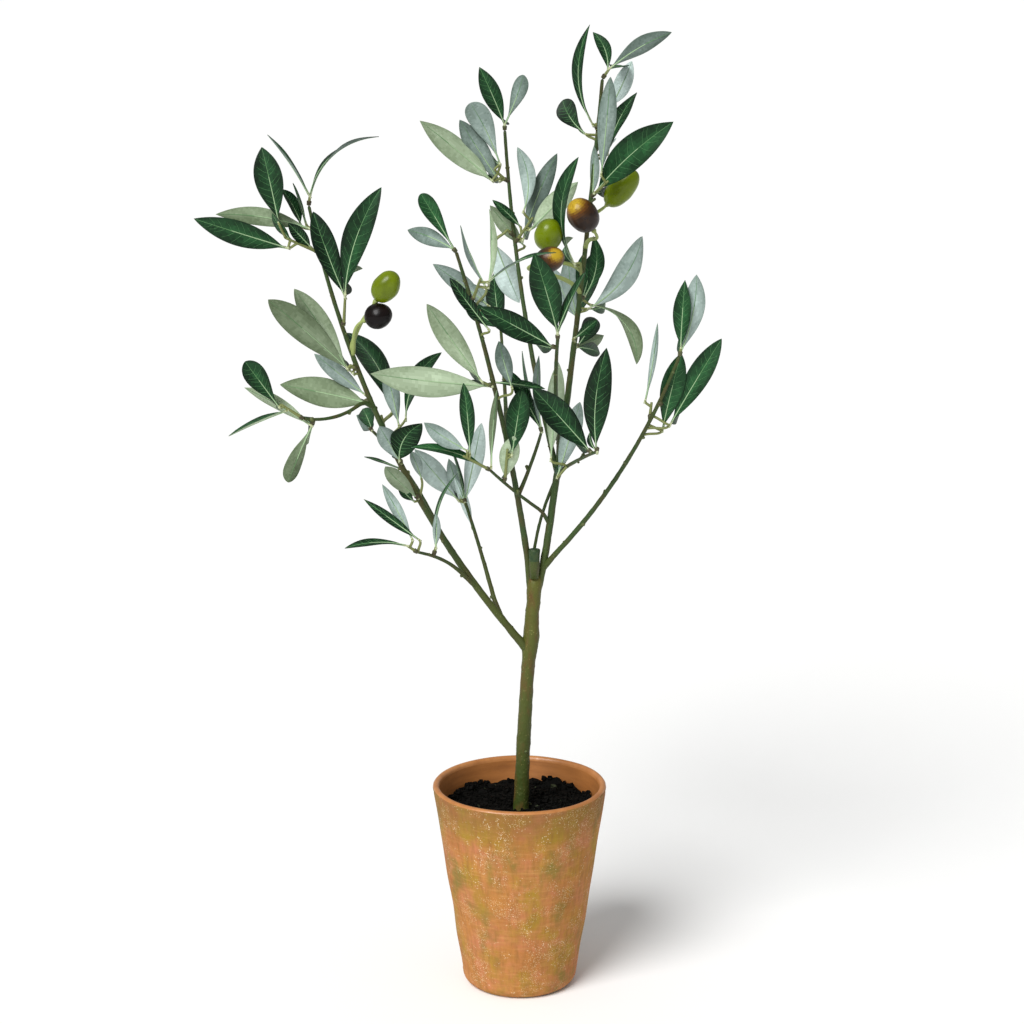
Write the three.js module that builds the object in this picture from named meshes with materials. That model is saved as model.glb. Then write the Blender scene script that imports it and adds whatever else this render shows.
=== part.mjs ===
// A potted artificial olive tree: a tapered terracotta pot with its fill, a leaning trunk, its boughs and
// twigs, and one uneven solid for each spray of leaves. Millimetres, +Z up, with the origin at the middle of
// the pot's underside. Azimuths are in degrees, anticlockwise from +X seen from above: 0 is right, 90 back,
// 180 left and 270 front.
import * as THREE from 'three';

const CLEARANCE = 0.3;
const DEPTH_AXIS = new THREE.Vector3(0, 1, 0);

const POT_HEIGHT = 134;
const POT_RIM_RADIUS = 56;
const POT_FOOT_RADIUS = 36;
const POT_WALL = 4.4;
const POT_FLOOR = 6;
const POT_FOOT_ROUND = 7;
const POT_SIDES = 48;

const FILL_BELOW_RIM = 16;
const FILL_SEAT_RADIUS = 9;
const FILL_DIP = 2.5;

const TRUNK_FOOT_RADIUS = 4.9;
const TRUNK_WAIST_RADIUS = 4.1;
const TRUNK_FORK_RADIUS = 5.7;
const TRUNK_FOOT_OFFSET = 0.8;
const TRUNK_WAIST_OFFSET = 4.2;
const TRUNK_SIDES = 12;
const TRUNK_SEGMENTS = 16;
const FORK_HEIGHT = 273;
const FORK_LEAN = 10;
const FORK_SWELLING_SPREAD = 0.12;
const JOINT_SHARE = 0.72;
const JOINT_SWELLING = 0.9;
const JOINT_SWELLING_SPREAD = 0.07;

const STUB_RADIUS = 3.4;
const STUB_HEIGHT = 15;
const STUB_SEAT = [-1.2, -2.9];

const LIMB_SIDES = 8;
const LIMB_SEGMENT = 20;

const SPRAY_SIDES = 8;
const SPRAY_RINGS = 6;
const SPRAY_BASE_RADIUS = 1.1;
const SPRAY_THINNESS = 0.42;
const SPRAY_UNEVENNESS = 0.14;

const MATERIALS = {
  terracotta: { color: 0xc07a45, roughness: 0.85, metalness: 0 },
  fill: { color: 0x16120e, roughness: 1, metalness: 0 },
  bark: { color: 0x5d6a35, roughness: 0.7, metalness: 0 },
  cutCap: { color: 0x1f4a38, roughness: 0.55, metalness: 0 },
  leaves: { color: 0x5f7f68, roughness: 0.6, metalness: 0 },
};

const fillTop = POT_HEIGHT - FILL_BELOW_RIM;
const trunkFoot = fillTop + CLEARANCE;

// The boughs and twigs, each one tapering limb. A limb leaves its parent at the share `at` of the parent's
// length, passes its elbow halfway and ends at its tip. Elbow and tip are [azimuth, reach, height], with the
// reach from the pot's axis. A limb with a seat stands on the fork's top, at that offset right and back.
const LIMBS = [
  { name: 'leader', parent: 'trunk', seat: [4.2, 1.5],
    elbow: [11, 35, 426], tip: [17, 52, 578], radii: [2.4, 1] },
  { name: 'centre_left_bough', parent: 'trunk', seat: [-4.3, 2.6],
    elbow: [243, 27, 381], tip: [238, 71, 482], radii: [2.1, 1] },
  { name: 'left_bough', parent: 'trunk', at: JOINT_SHARE,
    elbow: [199, 83, 360], tip: [189, 128, 505], radii: [2.5, 1] },
  { name: 'left_inner_bough', parent: 'left_bough', at: 0.08,
    elbow: [144, 31, 283], tip: [128, 57, 308], radii: [1.5, 1] },
  { name: 'low_left_twig', parent: 'left_bough', at: 0.17,
    elbow: [213, 53, 287], tip: [219, 80, 299], radii: [1.3, 0.9] },
  { name: 'left_back_twig', parent: 'left_bough', at: 0.28,
    elbow: [172, 70, 333], tip: [157, 102, 356], radii: [1.3, 0.9] },
  { name: 'far_left_twig', parent: 'left_bough', at: 0.61,
    elbow: [203, 118, 382], tip: [205, 142, 383], radii: [1.2, 0.9] },
  { name: 'right_bough', parent: 'leader', at: 0.03,
    elbow: [338, 67, 345], tip: [332, 107, 419], radii: [1.7, 1] },
  { name: 'cross_twig', parent: 'leader', at: 0.12,
    elbow: [264, 17, 328], tip: [240, 37, 346], radii: [1.1, 0.9] },
  { name: 'back_bough', parent: 'leader', at: 0.15,
    elbow: [61, 63, 368], tip: [71, 117, 417], radii: [1.6, 1] },
  { name: 'right_front_twig', parent: 'leader', at: 0.21,
    elbow: [313, 49, 352], tip: [301, 87, 366], radii: [1.3, 0.9] },
  { name: 'centre_back_bough', parent: 'leader', at: 0.23,
    elbow: [88, 44, 441], tip: [99, 61, 544], radii: [1.7, 1] },
  { name: 'front_bough', parent: 'leader', at: 0.26,
    elbow: [299, 44, 393], tip: [285, 83, 434], radii: [1.6, 1] },
  { name: 'inner_twig', parent: 'centre_left_bough', at: 0.25,
    elbow: [301, 17, 352], tip: [300, 26, 368], radii: [1.2, 0.9] },
  { name: 'back_left_bough', parent: 'centre_left_bough', at: 0.41,
    elbow: [102, 45, 378], tip: [97, 101, 412], radii: [1.5, 1] },
];

// The sprays of leaves, by limb. Each grows from the share `at` of the limb's length, along its azimuth and
// rise, and is a thin pad of its own length and width. It faces the front, unless turned about its own axis.
const SPRAYS = {
  left_bough: [
    { name: 'left_top', at: 1, azimuth: 341, rise: 81, length: 40, width: 60 },
    { name: 'left_outer', at: 0.91, azimuth: 203, rise: 25, length: 78, width: 34 },
    { name: 'left_fork', at: 0.76, azimuth: 284, rise: 71, length: 76, width: 28 },
    { name: 'left_mid_high', at: 0.67, azimuth: 223, rise: 39, length: 78, width: 26 },
    { name: 'left_mid_low', at: 0.6, azimuth: 150, rise: 13, length: 64, width: 26 },
    { name: 'left_tuft', at: 0.53, azimuth: 109, rise: 45, length: 52, width: 26 },
    { name: 'bend_high', at: 0.46, azimuth: 271, rise: 46, length: 48, width: 24 },
    { name: 'bend_low', at: 0.38, azimuth: 244, rise: 29, length: 66, width: 20 },
  ],
  far_left_twig: [
    { name: 'far_left_tip', at: 1, azimuth: 203, rise: 35, length: 47, width: 30 },
    { name: 'far_left_drop', at: 0.86, azimuth: 193, rise: -63, length: 35, width: 12 },
  ],
  low_left_twig: [
    { name: 'low_left', at: 1, azimuth: 209, rise: 35, length: 51, width: 36 },
    { name: 'low_left_upright', at: 0.76, azimuth: 328, rise: 74, length: 52, width: 11 },
  ],
  left_back_twig: [
    { name: 'left_back', at: 1, azimuth: 150, rise: 45, length: 48, width: 24, turn: 30 },
  ],
  left_inner_bough: [
    { name: 'inner_left', at: 1, azimuth: 123, rise: 67, length: 52, width: 32 },
  ],
  cross_twig: [
    { name: 'cross_left', at: 1, azimuth: 205, rise: 30, length: 52, width: 26 },
    { name: 'cross_upright', at: 0.74, azimuth: 283, rise: 73, length: 64, width: 18 },
  ],
  centre_left_bough: [
    { name: 'centre_left_low', at: 0.58, azimuth: 214, rise: 28, length: 80, width: 34 },
    { name: 'centre_left_mid', at: 0.8, azimuth: 142, rise: 40, length: 43, width: 22 },
    { name: 'centre_left_tip', at: 1, azimuth: 210, rise: 48, length: 45, width: 24 },
    { name: 'centre_left_front', at: 0.85, azimuth: 291, rise: 47, length: 60, width: 26 },
  ],
  centre_back_bough: [
    { name: 'upper_back_side', at: 0.69, azimuth: 215, rise: 40, length: 34, width: 18 },
    { name: 'upper_back_right', at: 0.67, azimuth: 322, rise: 50, length: 60, width: 24 },
    { name: 'upper_back_left', at: 0.85, azimuth: 213, rise: 39, length: 71, width: 26 },
    { name: 'upper_back_tip', at: 1, azimuth: 263, rise: 82, length: 38, width: 30 },
  ],
  leader: [
    { name: 'leader_left', at: 0.61, azimuth: 260, rise: 62, length: 78, width: 14 },
    { name: 'leader_big', at: 0.77, azimuth: 314, rise: 36, length: 78, width: 24 },
    { name: 'leader_high_right', at: 0.86, azimuth: 58, rise: 56, length: 59, width: 18 },
    { name: 'leader_high_left', at: 0.9, azimuth: 248, rise: 63, length: 70, width: 20 },
    { name: 'leader_tip', at: 1, azimuth: 351, rise: 54, length: 36, width: 26 },
    { name: 'leader_right', at: 0.56, azimuth: 48, rise: 28, length: 64, width: 30 },
  ],
  front_bough: [
    { name: 'front_left', at: 0.92, azimuth: 206, rise: 28, length: 50, width: 18 },
    { name: 'front_up', at: 1, azimuth: 267, rise: 58, length: 60, width: 36 },
  ],
  right_front_twig: [
    { name: 'right_front_up', at: 1, azimuth: 291, rise: 80, length: 62, width: 17 },
    { name: 'right_front_left', at: 0.9, azimuth: 157, rise: 40, length: 49, width: 16 },
  ],
  inner_twig: [
    { name: 'inner_tuft', at: 1, azimuth: 200, rise: 74, length: 42, width: 20 },
  ],
  right_bough: [
    { name: 'right_tip', at: 1, azimuth: 342, rise: 82, length: 46, width: 22 },
    { name: 'right_low', at: 0.8, azimuth: 313, rise: 42, length: 60, width: 24 },
    { name: 'right_inner', at: 0.73, azimuth: 67, rise: 70, length: 55, width: 12 },
  ],
  back_bough: [
    { name: 'back_top', at: 1, azimuth: 73, rise: 73, length: 55, width: 26, turn: 40 },
    { name: 'back_right', at: 0.84, azimuth: 40, rise: 37, length: 49, width: 24, turn: 30 },
  ],
  back_left_bough: [
    { name: 'back_left', at: 1, azimuth: 126, rise: 64, length: 50, width: 26, turn: -40 },
  ],
};

const radians = THREE.MathUtils.degToRad;

/** A point given as azimuth, reach from the pot's axis and height. */
function around([azimuth, reach, height]) {
  const angle = radians(azimuth);
  return new THREE.Vector3(reach * Math.cos(angle), reach * Math.sin(angle), height);
}

/** The unit vector along an azimuth that rises by the given angle. */
function heading(azimuth, rise) {
  return around([azimuth, Math.cos(radians(rise)), Math.sin(radians(rise))]);
}

/** The part of a vector that is square to an axis, as a unit vector. */
function squareTo(vector, axis) {
  return vector.clone().addScaledVector(axis, -vector.dot(axis)).normalize();
}

/** A quarter turn of a rounded corner, as points of a lathe profile. */
function corner(centreX, centreZ, radius, fromDegrees, toDegrees, steps) {
  return Array.from({ length: steps + 1 }, (_, i) => {
    const angle = radians(fromDegrees + ((toDegrees - fromDegrees) * i) / steps);
    return new THREE.Vector2(centreX + radius * Math.cos(angle), centreZ + radius * Math.sin(angle));
  });
}

/** A closed profile spun about the vertical axis. */
function turned(profile, sides) {
  return new THREE.LatheGeometry(profile, sides).rotateX(Math.PI / 2);
}

/** The pot's outer radius at a height: a straight taper from rim to foot. */
function potRadius(height) {
  return POT_FOOT_RADIUS + ((POT_RIM_RADIUS - POT_FOOT_RADIUS) * height) / POT_HEIGHT;
}

/** The hollow pot: a flat underside, a rounded foot, a straight tapered wall and a rounded lip. */
function potGeometry() {
  const lip = POT_WALL / 2;
  const footCentre = potRadius(POT_FOOT_ROUND) - POT_FOOT_ROUND;
  const lipHeight = POT_HEIGHT - lip;
  const innerRound = POT_FLOOR / 2;
  const innerFoot = potRadius(POT_FLOOR + innerRound) - POT_WALL - innerRound;
  return turned([
    new THREE.Vector2(0, 0),
    ...corner(footCentre, POT_FOOT_ROUND, POT_FOOT_ROUND, -90, 0, 5),
    ...corner(potRadius(lipHeight) - lip, lipHeight, lip, 0, 180, 6),
    ...corner(innerFoot, POT_FLOOR + innerRound, innerRound, 0, -90, 3),
    new THREE.Vector2(0, POT_FLOOR),
  ], POT_SIDES);
}

/** The fill: it follows the wall inside, and its top dips between the trunk's seat and the wall. */
function fillGeometry() {
  const foot = POT_FLOOR + CLEARANCE;
  const cornerCut = POT_FLOOR;
  const wallAt = (height) => potRadius(height) - POT_WALL - 2 * CLEARANCE;
  const middle = (FILL_SEAT_RADIUS + wallAt(fillTop)) / 2;
  return turned([
    new THREE.Vector2(0, foot),
    new THREE.Vector2(wallAt(foot) - cornerCut, foot),
    new THREE.Vector2(wallAt(foot + cornerCut), foot + cornerCut),
    new THREE.Vector2(wallAt(fillTop), fillTop),
    new THREE.Vector2(middle, fillTop - FILL_DIP),
    new THREE.Vector2(FILL_SEAT_RADIUS, fillTop),
    new THREE.Vector2(0, fillTop),
  ], POT_SIDES);
}

/** Bends a closed cylinder of unit radius along a curve, with its radius given along the way. */
function bentCylinder(curve, radiusAt, sides, segments) {
  const geometry = new THREE.CylinderGeometry(1, 1, 1, sides, segments);
  const position = geometry.attributes.position;
  const chord = curve.getPoint(1).sub(curve.getPoint(0));
  const side = new THREE.Vector3().crossVectors(chord, DEPTH_AXIS);
  for (let i = 0; i < position.count; i += 1) {
    const share = position.getY(i) + 0.5;
    const tangent = curve.getTangentAt(share);
    const across = squareTo(side, tangent);
    const outward = new THREE.Vector3().crossVectors(across, tangent);
    const point = curve.getPointAt(share);
    point.addScaledVector(across, position.getX(i) * radiusAt(share));
    point.addScaledVector(outward, position.getZ(i) * radiusAt(share));
    position.setXYZ(i, point.x, point.y, point.z);
  }
  return geometry;
}

/** The curve through a start, an elbow at its middle and a tip. */
function throughElbow(start, elbow, tip) {
  const control = elbow.clone().multiplyScalar(2).addScaledVector(start, -0.5).addScaledVector(tip, -0.5);
  return new THREE.QuadraticBezierCurve3(start, control, tip);
}

/** The trunk: it leans to its fork, narrows upwards, and swells at the left bough's joint and at the fork. */
function trunkLimb() {
  const foot = new THREE.Vector3(TRUNK_FOOT_OFFSET, 0, trunkFoot);
  const waist = new THREE.Vector3(TRUNK_WAIST_OFFSET, 0, (trunkFoot + FORK_HEIGHT) / 2);
  const fork = new THREE.Vector3(FORK_LEAN, 0, FORK_HEIGHT);
  const bump = (share, centre, spread) => Math.exp(-(((share - centre) / spread) ** 2));
  const radiusAt = (share) => THREE.MathUtils.lerp(TRUNK_FOOT_RADIUS, TRUNK_WAIST_RADIUS, share)
    + JOINT_SWELLING * bump(share, JOINT_SHARE, JOINT_SWELLING_SPREAD)
    + (TRUNK_FORK_RADIUS - TRUNK_WAIST_RADIUS) * bump(share, 1, FORK_SWELLING_SPREAD);
  const curve = throughElbow(foot, waist, fork);
  return { curve, radiusAt, sides: TRUNK_SIDES, segments: TRUNK_SEGMENTS };
}

/** The foot of a piece that stands on the fork's top and heads for a point, with its lowest edge clear. */
function onForkTop(trunk, [acrossOffset, depthOffset], towards, radius) {
  const tangent = trunk.curve.getTangent(1);
  const foot = trunk.curve.getPoint(1);
  foot.addScaledVector(squareTo(new THREE.Vector3(1, 0, 0), tangent), acrossOffset);
  foot.addScaledVector(squareTo(DEPTH_AXIS, tangent), depthOffset);
  const tilt = towards.clone().sub(foot).angleTo(tangent);
  return foot.addScaledVector(tangent, CLEARANCE + radius * Math.sin(tilt));
}

/** One bough or twig: it starts clear of its parent's skin, or on the fork's top, and tapers to its tip. */
function limbFrom(spec, parent) {
  const elbow = around(spec.elbow);
  const [baseRadius, tipRadius] = spec.radii;
  let start;
  if (spec.seat) {
    start = onForkTop(parent, spec.seat, elbow, baseRadius);
  } else {
    const joint = parent.curve.getPoint(spec.at);
    const along = parent.curve.getTangent(spec.at);
    const leaving = elbow.clone().sub(joint).normalize();
    const offset = parent.radiusAt(spec.at) + CLEARANCE + baseRadius * Math.abs(leaving.dot(along));
    start = joint.addScaledVector(squareTo(leaving, along), offset);
  }
  const curve = throughElbow(start, elbow, around(spec.tip));
  const radiusAt = (share) => THREE.MathUtils.lerp(baseRadius, tipRadius, share);
  const segments = Math.max(3, Math.round(curve.getLength() / LIMB_SEGMENT));
  return { curve, radiusAt, sides: LIMB_SIDES, segments };
}

/** The share of a spray's full width along its axis: a narrow stalk end, widest past the middle. */
function sprayOutline(share) {
  return Math.sin(Math.PI * share ** 1.25) ** 0.7;
}

/** An uneven pad: a sphere stretched along the spray's axis, wide across the view and thin through it. */
function sprayGeometry(spec, limb, index) {
  const along = heading(spec.azimuth, spec.rise);
  const tangent = limb.curve.getTangent(spec.at);
  const start = limb.curve.getPoint(spec.at);
  if (spec.at === 1) {
    start.addScaledVector(along, CLEARANCE);
  } else {
    const offset = limb.radiusAt(spec.at) + CLEARANCE;
    start.addScaledVector(squareTo(along, tangent), offset);
  }
  const across = new THREE.Vector3().crossVectors(along, DEPTH_AXIS).normalize();
  across.applyAxisAngle(along, radians(spec.turn ?? 0));
  const through = new THREE.Vector3().crossVectors(across, along);
  const geometry = new THREE.SphereGeometry(1, SPRAY_SIDES, SPRAY_RINGS);
  const position = geometry.attributes.position;
  for (let i = 0; i < position.count; i += 1) {
    const height = THREE.MathUtils.clamp(position.getY(i), -1, 1);
    const share = 1 - Math.acos(height) / Math.PI;
    const ring = Math.hypot(position.getX(i), position.getZ(i));
    const [x, z] = ring > 1e-6 ? [position.getX(i) / ring, position.getZ(i) / ring] : [0, 0];
    const uneven = 1 + SPRAY_UNEVENNESS * Math.sin(7 * share + 1.7 * index + 2 * x);
    const halfWidth = SPRAY_BASE_RADIUS + (spec.width / 2 - SPRAY_BASE_RADIUS) * sprayOutline(share) * uneven;
    const halfDepth = SPRAY_BASE_RADIUS + (halfWidth - SPRAY_BASE_RADIUS) * SPRAY_THINNESS;
    const point = start.clone().addScaledVector(along, spec.length * share);
    point.addScaledVector(across, x * halfWidth).addScaledVector(through, z * halfDepth);
    position.setXYZ(i, point.x, point.y, point.z);
  }
  return geometry;
}

/** The blunt cut stub that stands on the fork, in front of the boughs. */
function stubGeometry(trunk) {
  const above = trunk.curve.getPoint(1).setZ(FORK_HEIGHT + STUB_HEIGHT);
  const foot = onForkTop(trunk, STUB_SEAT, above, STUB_RADIUS);
  const geometry = new THREE.CylinderGeometry(STUB_RADIUS, STUB_RADIUS * 0.9, STUB_HEIGHT, LIMB_SIDES);
  return geometry.rotateX(Math.PI / 2).translate(foot.x, foot.y, foot.z + STUB_HEIGHT / 2);
}

function named(name, geometry, material) {
  const mesh = new THREE.Mesh(geometry, new THREE.MeshStandardMaterial(MATERIALS[material]));
  mesh.name = name;
  return mesh;
}

const tree = new THREE.Group();
tree.add(named('pot', potGeometry(), 'terracotta'));
tree.add(named('fill', fillGeometry(), 'fill'));

const limbs = { trunk: trunkLimb() };
for (const spec of LIMBS) {
  limbs[spec.name] = limbFrom(spec, limbs[spec.parent]);
}
for (const [name, { curve, radiusAt, sides, segments }] of Object.entries(limbs)) {
  tree.add(named(name, bentCylinder(curve, radiusAt, sides, segments), 'bark'));
}
tree.add(named('fork_stub', stubGeometry(limbs.trunk), 'cutCap'));

let sprayIndex = 0;
for (const [limbName, specs] of Object.entries(SPRAYS)) {
  for (const spec of specs) {
    tree.add(named(`spray_${spec.name}`, sprayGeometry(spec, limbs[limbName], sprayIndex), 'leaves'));
    sprayIndex += 1;
  }
}

export default tree;
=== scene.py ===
# %% [markdown]
# # A potted artificial olive tree
# This lesson dresses a plain model of a small artificial olive tree. The frame below holds its exact sizes:
# a pot, its fill, a trunk, a cut stump, fifteen boughs and twigs, and one rough pad for each spray of
# leaves. The cells build one kind of piece after another round that frame, and everything is in metres. The
# places of the limbs and sprays are read from the frame itself, so the cells only add what it leaves out,
# such as the turn of a leaf on its spray.

import math
import re

import bpy
import numpy as np
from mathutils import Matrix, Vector


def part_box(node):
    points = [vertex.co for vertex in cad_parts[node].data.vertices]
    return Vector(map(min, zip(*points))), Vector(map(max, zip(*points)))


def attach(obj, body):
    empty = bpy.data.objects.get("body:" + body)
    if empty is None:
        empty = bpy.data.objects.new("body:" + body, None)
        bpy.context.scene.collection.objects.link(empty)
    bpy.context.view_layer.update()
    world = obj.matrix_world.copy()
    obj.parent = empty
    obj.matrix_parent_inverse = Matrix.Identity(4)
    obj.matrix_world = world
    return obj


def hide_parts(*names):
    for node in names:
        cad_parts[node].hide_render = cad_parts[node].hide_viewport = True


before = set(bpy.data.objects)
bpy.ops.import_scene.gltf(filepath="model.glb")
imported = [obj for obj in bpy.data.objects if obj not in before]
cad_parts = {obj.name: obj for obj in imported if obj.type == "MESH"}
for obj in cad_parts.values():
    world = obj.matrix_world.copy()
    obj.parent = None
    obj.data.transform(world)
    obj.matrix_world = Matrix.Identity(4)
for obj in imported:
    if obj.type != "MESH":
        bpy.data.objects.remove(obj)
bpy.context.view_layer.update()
MM = 0.001
SEED = 41
rng = np.random.default_rng(SEED)

# %% [markdown]
# ## The camera
# The tree is seen from the front and a little from above. A long lens from some way off keeps the pot's
# sides nearly straight, where a short one close by would spread them. The colours are shown without a film
# curve.

# %% Camera
CAMERA_PLACE = (-0.005, -1.430, 0.645)
CAMERA_DIP = math.radians(13.1)
SENSOR_WIDTH = 36
LENS = 82.7
FARTHEST_SEEN = 400

scene = bpy.context.scene
scene.view_settings.view_transform = "Standard"

camera = bpy.data.objects.new("camera", bpy.data.cameras.new("camera"))
camera.location = CAMERA_PLACE
camera.rotation_euler = (math.pi / 2 - CAMERA_DIP, 0, 0)
camera.data.sensor_width = SENSOR_WIDTH
camera.data.lens = LENS
camera.data.clip_end = FARTHEST_SEEN
scene.collection.objects.link(camera)
scene.camera = camera
print("camera at", CAMERA_PLACE, "lens", LENS)

# %% [markdown]
# ## The light
# The light is that of a plain studio. One very broad lamp at the upper left gives the leaves their sheen,
# and an even surround fills the shade, as a white tent would. The lamp is a far one, because a near one
# would leave the far end of the floor grey.

# %% Light
LAMP_STRENGTH = 3.3
LAMP_SPREAD = math.radians(32)
LAMP_WAY = (0.5, 0.75, -0.85)
SURROUND_STRENGTH = 0.4
WHITE = (1, 1, 1, 1)
BLACK = (0, 0, 0, 1)

lamp = bpy.data.objects.new("key_lamp", bpy.data.lights.new("key_lamp", "SUN"))
lamp.data.energy = LAMP_STRENGTH
lamp.data.angle = LAMP_SPREAD
lamp.rotation_euler = Vector(LAMP_WAY).to_track_quat("-Z", "Y").to_euler()
scene.collection.objects.link(lamp)

surround = bpy.data.worlds.new("surround")
surround.use_nodes = True
background = surround.node_tree.nodes["Background"]
background.inputs["Color"].default_value = WHITE
background.inputs["Strength"].default_value = SURROUND_STRENGTH
scene.world = surround
print("lamp strength", LAMP_STRENGTH, "surround strength", SURROUND_STRENGTH)

# %% [markdown]
# ## Skins
# Nearly every piece here is a skin drawn through rings of points: a bough, a leaf, a vein, an olive, the
# pot. One function closes such a skin and makes many of them at once. Written for whole arrays it stays
# quick, since a thousand veins cost no more code than one.

# %% Skins through rings
def unit(vectors):
    """Each vector divided by its length."""
    return vectors / np.linalg.norm(vectors, axis=-1, keepdims=True)


def skins(rings):
    """Closed skins through rings[item, along, around]: points, faces, and each face's item, row and column.

    Neighbouring rings are joined by four-sided faces, and the first and last ring of each item are closed by
    triangles that meet at a point in the ring's middle. The around direction runs anticlockwise when it is
    seen from the skin's far end, so that the faces point outwards. The four-sided faces come first.
    """
    items, along, around, _ = rings.shape
    middles = rings[:, [0, -1]].mean(axis=2)
    points = np.concatenate([rings.reshape(items, -1, 3), middles], axis=1)
    index = np.arange(along * around).reshape(along, around)
    beside = np.roll(index, -1, axis=1)
    quads = np.stack([index[:-1], beside[:-1], beside[1:], index[1:]], axis=-1).reshape(-1, 4)
    first = np.stack([np.full(around, along * around), beside[0], index[0]], axis=-1)
    last = np.stack([np.full(around, along * around + 1), index[-1], beside[-1]], axis=-1)
    shift = (np.arange(items) * points.shape[1])[:, None, None]
    faces = [(quads + shift).reshape(-1, 4), (np.concatenate([first, last]) + shift).reshape(-1, 3)]
    marks = []
    for rows in (np.arange(along - 1), np.array([0, along - 1])):
        item, row, column = np.meshgrid(np.arange(items), rows, np.arange(around), indexing="ij")
        marks.append(np.stack([item.ravel(), row.ravel(), column.ravel()], axis=-1))
    return points.reshape(-1, 3), faces, marks


def joined(parts):
    """Several skins as one: their points in a row, and their faces renumbered to match."""
    shift = np.cumsum([0] + [len(points) for points, *_ in parts[:-1]])
    faces = [np.concatenate([part[1][kind] + by for part, by in zip(parts, shift)]) for kind in (0, 1)]
    return np.concatenate([points for points, *_ in parts]), faces


sample_points, sample_faces, _ = skins(np.zeros((1, 3, 4, 3)))
print("a skin of 3 rings of 4:", len(sample_points), "points and", sum(map(len, sample_faces)), "faces")

# %% [markdown]
# ## Pieces
# A skin becomes an object of the scene here. A list of points could be handed over with from_pydata, but
# foreach_set takes whole arrays and is many times quicker. Each piece rides on the one body of the tree,
# takes its finishes, and hides the nodes of the frame that it stands for.

# %% Pieces
def piece(name, slot, materials, points, faces, looks=None, nodes=(), smooth=True):
    """A mesh object from points and faces. looks gives each face's place in the list of materials."""
    mesh = bpy.data.meshes.new(name)
    sizes = np.concatenate([np.full(len(group), group.shape[1]) for group in faces])
    corners = np.concatenate([group.ravel() for group in faces]).astype(np.int32)
    mesh.vertices.add(len(points))
    mesh.vertices.foreach_set("co", points.astype(np.float32).ravel())
    mesh.loops.add(len(corners))
    mesh.loops.foreach_set("vertex_index", corners)
    mesh.polygons.add(len(sizes))
    starts = np.concatenate([[0], np.cumsum(sizes)[:-1]]).astype(np.int32)
    mesh.polygons.foreach_set("loop_start", starts)
    mesh.polygons.foreach_set("use_smooth", np.full(len(sizes), smooth))
    for material in materials:
        mesh.materials.append(material)
    if looks is not None:
        mesh.polygons.foreach_set("material_index", looks.astype(np.int32))
    mesh.update(calc_edges=True)
    made = bpy.data.objects.new(name, mesh)
    scene.collection.objects.link(made)
    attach(made, "root")
    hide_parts(*nodes)
    print(f"{name}: {len(points)} points, {int((sizes - 2).sum())} triangles")


# %% [markdown]
# ## Lines
# Limbs, ribs and stalks all follow lines of points. Four small tools serve them: how far each point lies
# along a line, the same line in even steps, a line with its corners softened, and a curve that leaves one
# point and reaches another in the directions asked for.

# %% Lines
HANDLE = 0.4


def travelled(points):
    """How far along a chain of points each of them lies."""
    return np.concatenate([[0], np.cumsum(np.linalg.norm(np.diff(points, axis=0), axis=1))])


def evenly_spaced(points, count):
    """Evenly spaced points along the straight runs of a chain."""
    travel = travelled(points)
    even = np.linspace(0, travel[-1], count)
    return np.stack([np.interp(even, travel, column) for column in points.T], axis=-1)


def softened(points, window):
    """A chain whose points are each a weighted mean of an odd number of neighbours. Its two ends stay."""
    weights = np.hanning(window) / np.hanning(window).sum()
    inner = np.stack([np.convolve(column, weights, "valid") for column in points.T], axis=-1)
    half = window // 2
    return np.concatenate([points[:half], inner, points[-half:]])


def smooth_lines(starts, leaving, ends, arriving, count):
    """Cubic curves from starts to ends that leave along one direction and arrive along another.

    The two inner control points lie along those directions, at HANDLE times the gap from each end.
    """
    share = np.linspace(0, 1, count)[:, None]
    handle = np.linalg.norm(ends - starts, axis=-1)[:, None, None] * HANDLE
    first = starts[:, None] + handle * leaving[:, None]
    second = ends[:, None] - handle * arriving[:, None]
    return ((1 - share) ** 3 * starts[:, None] + 3 * share * (1 - share) ** 2 * first
            + 3 * share ** 2 * (1 - share) * second + share ** 3 * ends[:, None])


corner = np.array([[0.0, 0.0], [3.0, 0.0], [3.0, 4.0]])
print("a corner of 3 and 4 is", travelled(corner)[-1], "long, its middle", evenly_spaced(corner, 3)[1])

# %% [markdown]
# ## Pipes
# A pipe is a round ring at each point of a line, set square to it. Blender's own curves can be thickened
# too, but rings of points can also be swollen and dented before they are closed.

# %% Pipes
# the depth axis, tilted a little so that no line runs along it
DEPTH_AXIS = (0.02, 1, 0.05)


def round_points(count):
    """The points (cos a, sin a) of a circle at even angles."""
    angle = np.arange(count) * 2 * np.pi / count
    return np.stack([np.cos(angle), np.sin(angle)], axis=-1)


def frames_along(paths):
    """Across, outward and forward unit vectors at each point of paths[item, along].

    Forward is the path's slope, across is forward crossed with the depth axis, and outward is forward
    crossed with across.
    """
    forward = unit(np.gradient(paths, axis=-2))
    across = unit(np.cross(forward, DEPTH_AXIS))
    return across, np.cross(forward, across), forward


def pipes(paths, radii, around):
    """Rings of a pipe along each path: point + radius · (cos a · across + sin a · outward)."""
    across, outward, _ = frames_along(paths)
    spoke = round_points(around)
    spokes = spoke[:, :1] * across[..., None, :] + spoke[:, 1:] * outward[..., None, :]
    radii = np.broadcast_to(radii, paths.shape[:-1])
    return paths[..., None, :] + radii[..., None, None] * spokes


def swollen(paths, rings, share):
    """Rings whose points stand off their path by a share more or less than before."""
    middle = paths[..., None, :]
    return middle + (rings - middle) * (1 + share)[..., None]


print("the second of four round points is", round_points(4)[1].round(3))

# %% [markdown]
# ## Ripples
# A ripple gives a surface its small unevenness. It is a sum of plane waves in seeded directions, which is
# smooth like a noise texture but moves the points themselves.

# %% Ripples
RIPPLE_WAVES = 14


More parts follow.
